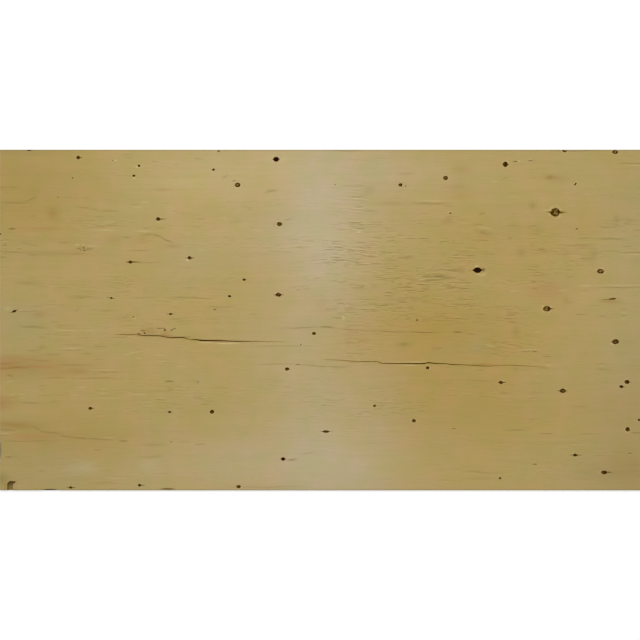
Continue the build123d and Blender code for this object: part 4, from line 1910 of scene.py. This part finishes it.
    Stain(1720, 430, 14, 3, OLIVE, 0.35),
    Stain(2160, 432, 24, 3, OLIVE, 0.4),
    Stain(2156, 452, 16, 3, OLIVE, 0.35),
    Stain(1725, 392, 40, 3, OLIVE, 0.35),
    Stain(1805, 349, 14, 3, OLIVE, 0.35),
    Stain(2075, 300, 30, 3, OLIVE, 0.3),
    Stain(1845, 214, 36, 2.5, OLIVE, 0.6),
    Stain(1955, 203, 26, 2.5, BARK, 0.4),
    Stain(2110, 203, 30, 2.5, OLIVE, 0.4),
    Stain(2280, 206, 18, 2.5, BARK, 0.4),
    Stain(1730, 65, 60, 5, OLIVE, 0.25, -2),
    Stain(1720, 42, 50, 5, OLIVE, 0.2),
)

# What lies at the bottom of the openings: bare dark resin, which is partly painted shade, dry dirt in the
# chipped corner with a painted shadow along the chip's upper wall, and a dark patch at the left end.
FLOOR_STAINS = (
    Stain(42, 6, 26, 20, DIRT, 0.95),
    # Painted shadow that the chip's upper wall casts on its floor
    Stain(46, 30, 16, 6, BARK, 0.9),
    Stain(0, 140, 30, 60, BARK, 0.8),
)

# Where the knife tore the fibres, in drifts and in narrow bands where it chattered.
TORN_PATCHES = (
    TornPatch(1540, 740, 170, 90, 0.32),
    TornPatch(1235, 785, 90, 90, 0.30),
    TornPatch(1390, 760, 130, 130, 0.24),
    TornPatch(1420, 900, 260, 90, 0.20),
    TornPatch(1200, 930, 20, 140, 0.18),
    TornPatch(1285, 930, 22, 180, 0.28),
    TornPatch(1225, 640, 60, 90, 0.15),
    TornPatch(1420, 640, 160, 50, 0.12),
    TornPatch(1655, 942, 40, 24, 0.25),
    TornPatch(1690, 680, 220, 90, 0.17),
    TornPatch(1640, 860, 120, 60, 0.14),
    TornPatch(1922, 855, 30, 48, 0.32),
    TornPatch(1918, 750, 26, 40, 0.30),
    TornPatch(1835, 615, 32, 28, 0.22),
    TornPatch(1830, 512, 100, 30, 0.28),
    TornPatch(2030, 840, 130, 90, 0.14),
    TornPatch(1960, 470, 50, 26, 0.14),
    TornPatch(1910, 300, 24, 100, 0.20),
    TornPatch(1740, 330, 120, 60, 0.12),
    TornPatch(1280, 500, 70, 80, 0.10),
    TornPatch(2230, 1000, 50, 130, 0.14),
    TornPatch(2180, 620, 60, 40, 0.14),
    TornPatch(1790, 700, 80, 60, 0.16),
    TornPatch(2150, 800, 130, 120, 0.06),
    TornPatch(520, 1020, 300, 160, 0.04),
    TornPatch(1080, 720, 40, 14, 0.25),
    TornPatch(1040, 850, 120, 60, 0.10),
    TornPatch(450, 750, 45, 60, 0.22),
    TornPatch(700, 720, 140, 60, 0.10),
    TornPatch(200, 690, 160, 50, 0.14),
    TornPatch(200, 500, 200, 70, 0.07),
    TornPatch(560, 600, 200, 50, 0.12),
    TornPatch(560, 480, 140, 40, 0.07),
    TornPatch(360, 340, 260, 70, 0.07),
    TornPatch(640, 340, 150, 60, 0.10),
    TornPatch(960, 330, 200, 70, 0.09),
    TornPatch(1320, 300, 200, 80, 0.18),
    TornPatch(30, 862, 45, 40, 0.30),
    TornPatch(360, 950, 90, 50, 0.10),
    TornPatch(800, 960, 160, 80, 0.07),
    TornPatch(500, 70, 300, 60, 0.08),
    TornPatch(1900, 120, 300, 80, 0.10),
)

# The back, which the photo doesn't show, has a few larger knots and its own stains.
BACK_KNOTS = (
    Knot(420, 300, 30, 24, RINGED, 12, 16),
    Knot(980, 910, 26, 20, RINGED, 8, 10),
    Knot(1510, 420, 34, 26, RINGED, 14, 18),
    Knot(2050, 860, 28, 20, RINGED, 10, 12),
    Knot(720, 640, 18, 13, DARK, 6, 12),
    Knot(1790, 150, 18, 14, DARK, 4, 8),
    Knot(1240, 200, 16, 12, DARK, 8, 4),
    Knot(300, 1010, 20, 15, DARK, 6, 10),
    Knot(2240, 380, 16, 12, DARK, 4, 6),
)

BACK_STAINS = (
    Stain(700, 350, 420, 160, HEARTWOOD, 0.5),
    Stain(1700, 800, 500, 180, SAPWOOD, 0.5),
    Stain(2200, 200, 300, 140, WEATHERED, 0.35),
    Stain(250, 900, 260, 180, GREYED, 0.35),
    Stain(1120, 560, 300, 60, RUSSET, 0.25),
)

BACK_TORN_PATCHES = (
    TornPatch(560, 820, 240, 110, 0.22),
    TornPatch(1350, 690, 180, 90, 0.16),
    TornPatch(1980, 520, 260, 120, 0.18),
    TornPatch(900, 180, 220, 70, 0.12),
)


@dataclass(frozen=True)
class SoftLamp:
    """A soft lamp that points at the middle of the sheet, with its size and place in metres."""

    name: str
    size_along: float
    size_across: float
    spot: tuple[float, float, float]
    watts: float

    def hang(self) -> None:
        """Hangs the lamp over the sheet."""
        data = bpy.data.lights.new(self.name, "AREA")
        data.shape = "RECTANGLE"
        data.size = self.size_along
        data.size_y = self.size_across
        data.energy = self.watts
        lamp = bpy.data.objects.new(self.name, data)
        lamp.location = self.spot
        lamp.rotation_euler = (math.atan2(-self.spot[1], self.spot[2]), 0.0, 0.0)
        lamp.visible_camera = False
        bpy.context.scene.collection.objects.link(lamp)


@dataclass
class Studio:
    """The camera over the sheet, the soft lamps and the pale floor.

    What the camera sees, its lens and its sensor are in millimetres, and the room is in metres.
    The glow is what the floor adds for the camera alone, from under the sheet to the room's end.
    """

    seen_width: float = 2291.3
    seen_middle: float = 1147.0
    lens: float = 50.0
    sensor: float = 36.0
    sight: float = 200.0
    lamps: tuple[SoftLamp, ...] = (SoftLamp("broad_overhead_lamp", 2.6, 1.8, (-0.1, 1.2, 4.4), 90.5),
                                   SoftLamp("strip_lamp", 0.3, 3.2, (-0.02, 0.0, 4.4), 25.0))
    room_light: float = 0.45
    floor_size: float = 40.0
    floor_gap: float = 0.0002
    floor_grey: float = 0.82
    glow: Span = (0.32, 0.68)
    glow_reach: Span = (1.5, 4.5)

    def camera(self) -> None:
        """Hangs the camera straight over the sheet, with the near edge at the bottom."""
        data = bpy.data.cameras.new("overhead_camera")
        data.lens = self.lens
        data.sensor_width = self.sensor
        data.sensor_height = self.sensor
        data.clip_end = self.sight
        camera = bpy.data.objects.new("overhead_camera", data)
        distance = self.seen_width * self.lens / self.sensor
        top = (SHEET_HIGH.z - SHEET_LOW.z) / MM
        camera.location = place(self.seen_middle, SHEET_WIDTH / 2, top + distance)
        bpy.context.scene.collection.objects.link(camera)
        bpy.context.scene.camera = camera

    def seen(self, add: NodeMaker) -> Source:
        """Finds the rays that show a thing itself rather than the light that it gives.

        Args:
            add: Adds a node to the finish.

        Returns:
            1 for such a ray, and 0 for any other.
        """
        rays = add("LightPath", {}).outputs
        seen = add("Math", {0: rays["Is Camera Ray"], 1: rays["Is Glossy Ray"]}, operation="MAXIMUM")
        return add("Math", {0: seen, 1: rays["Is Transmission Ray"]}, operation="MAXIMUM")

    def world(self) -> None:
        """Fills the room with even light, and shows it white."""
        world = bpy.data.worlds.new("soft_room")
        world.use_nodes = True
        world.node_tree.nodes.clear()
        add = partial(add_node, world.node_tree)
        strength = add("MapRange", {"Value": self.seen(add), "To Min": self.room_light, "To Max": 1.0})
        light = add("Background", {"Color": linear("#FFFFFF"), "Strength": strength})
        add("OutputWorld", {"Surface": light})
        bpy.context.scene.world = world

    def paper(self) -> bpy.types.Material:
        """Builds the floor's finish: matt white paper that shows white but keeps the shadow.

        Returns:
            The material.
        """
        material, add = new_material("matt_white_paper")
        paper = add("BsdfDiffuse", {"Color": (self.floor_grey, self.floor_grey, self.floor_grey, 1.0)})
        away = add("VectorMath", {0: add("TexCoord", {}).outputs["Object"]}, operation="LENGTH")
        near, far = self.glow_reach
        lift = add("MapRange", {"Value": away, "From Min": near, "From Max": far, "To Min": self.glow[0],
                                "To Max": self.glow[1]})
        lift = add("Math", {0: self.seen(add), 1: lift}, operation="MULTIPLY")
        glow = add("Emission", {"Strength": lift})
        add("OutputMaterial", {"Surface": add("AddShader", {0: paper, 1: glow})})
        return material

    def floor(self) -> None:
        """Lays the floor just under the sheet."""
        shape = bmesh.new()
        bmesh.ops.create_grid(shape, x_segments=1, y_segments=1, size=self.floor_size / 2)
        bmesh.ops.translate(shape, verts=shape.verts, vec=(0, 0, SHEET_LOW.z - self.floor_gap))
        mesh = bpy.data.meshes.new("pale_floor")
        shape.to_mesh(mesh)
        shape.free()
        mesh.materials.append(self.paper())
        floor = bpy.data.objects.new("pale_floor", mesh)
        bpy.context.scene.collection.objects.link(floor)

    def build(self) -> None:
        """Sets the stage."""
        self.camera()
        for lamp in self.lamps:
            lamp.hang()
        self.world()
        self.floor()
        bpy.context.scene.view_settings.view_transform = "Standard"
        log.info("studio: %d lamps, camera and floor", len(self.lamps))


def main() -> None:
    """Builds the sheet ply by ply, then the studio."""
    cutter = model_copy()
    InnerPly("crossband_lower", 2, GrainWay.ACROSS).build(cutter)
    InnerPly("core_veneer", 3, GrainWay.ALONG).build(cutter)
    InnerPly("crossband_upper", 4, GrainWay.ACROSS, cell_along=12.0, cell_across=12.0).build(cutter)
    ShownVeneer("back_veneer", 1, GrainWay.ALONG, shown_up=-1.0, cell_along=24.0, cell_across=4.0,
                knots=BACK_KNOTS, stains=BACK_STAINS, torn_patches=BACK_TORN_PATCHES,
                finish=PeeledSpruceFace("peeled_spruce_back", seed=3.7)).build(cutter)
    ShownVeneer("face_veneer", PLY_COUNT, GrainWay.ALONG, knots=FACE_KNOTS, stains=BROAD_TINTS + STREAKS,
                torn_patches=TORN_PATCHES).build(cutter)
    bpy.data.objects.remove(cutter)
    Studio().build()


if __name__ == "__main__":
    logging.basicConfig(level=logging.INFO, format="%(name)s: %(message)s")
    main()
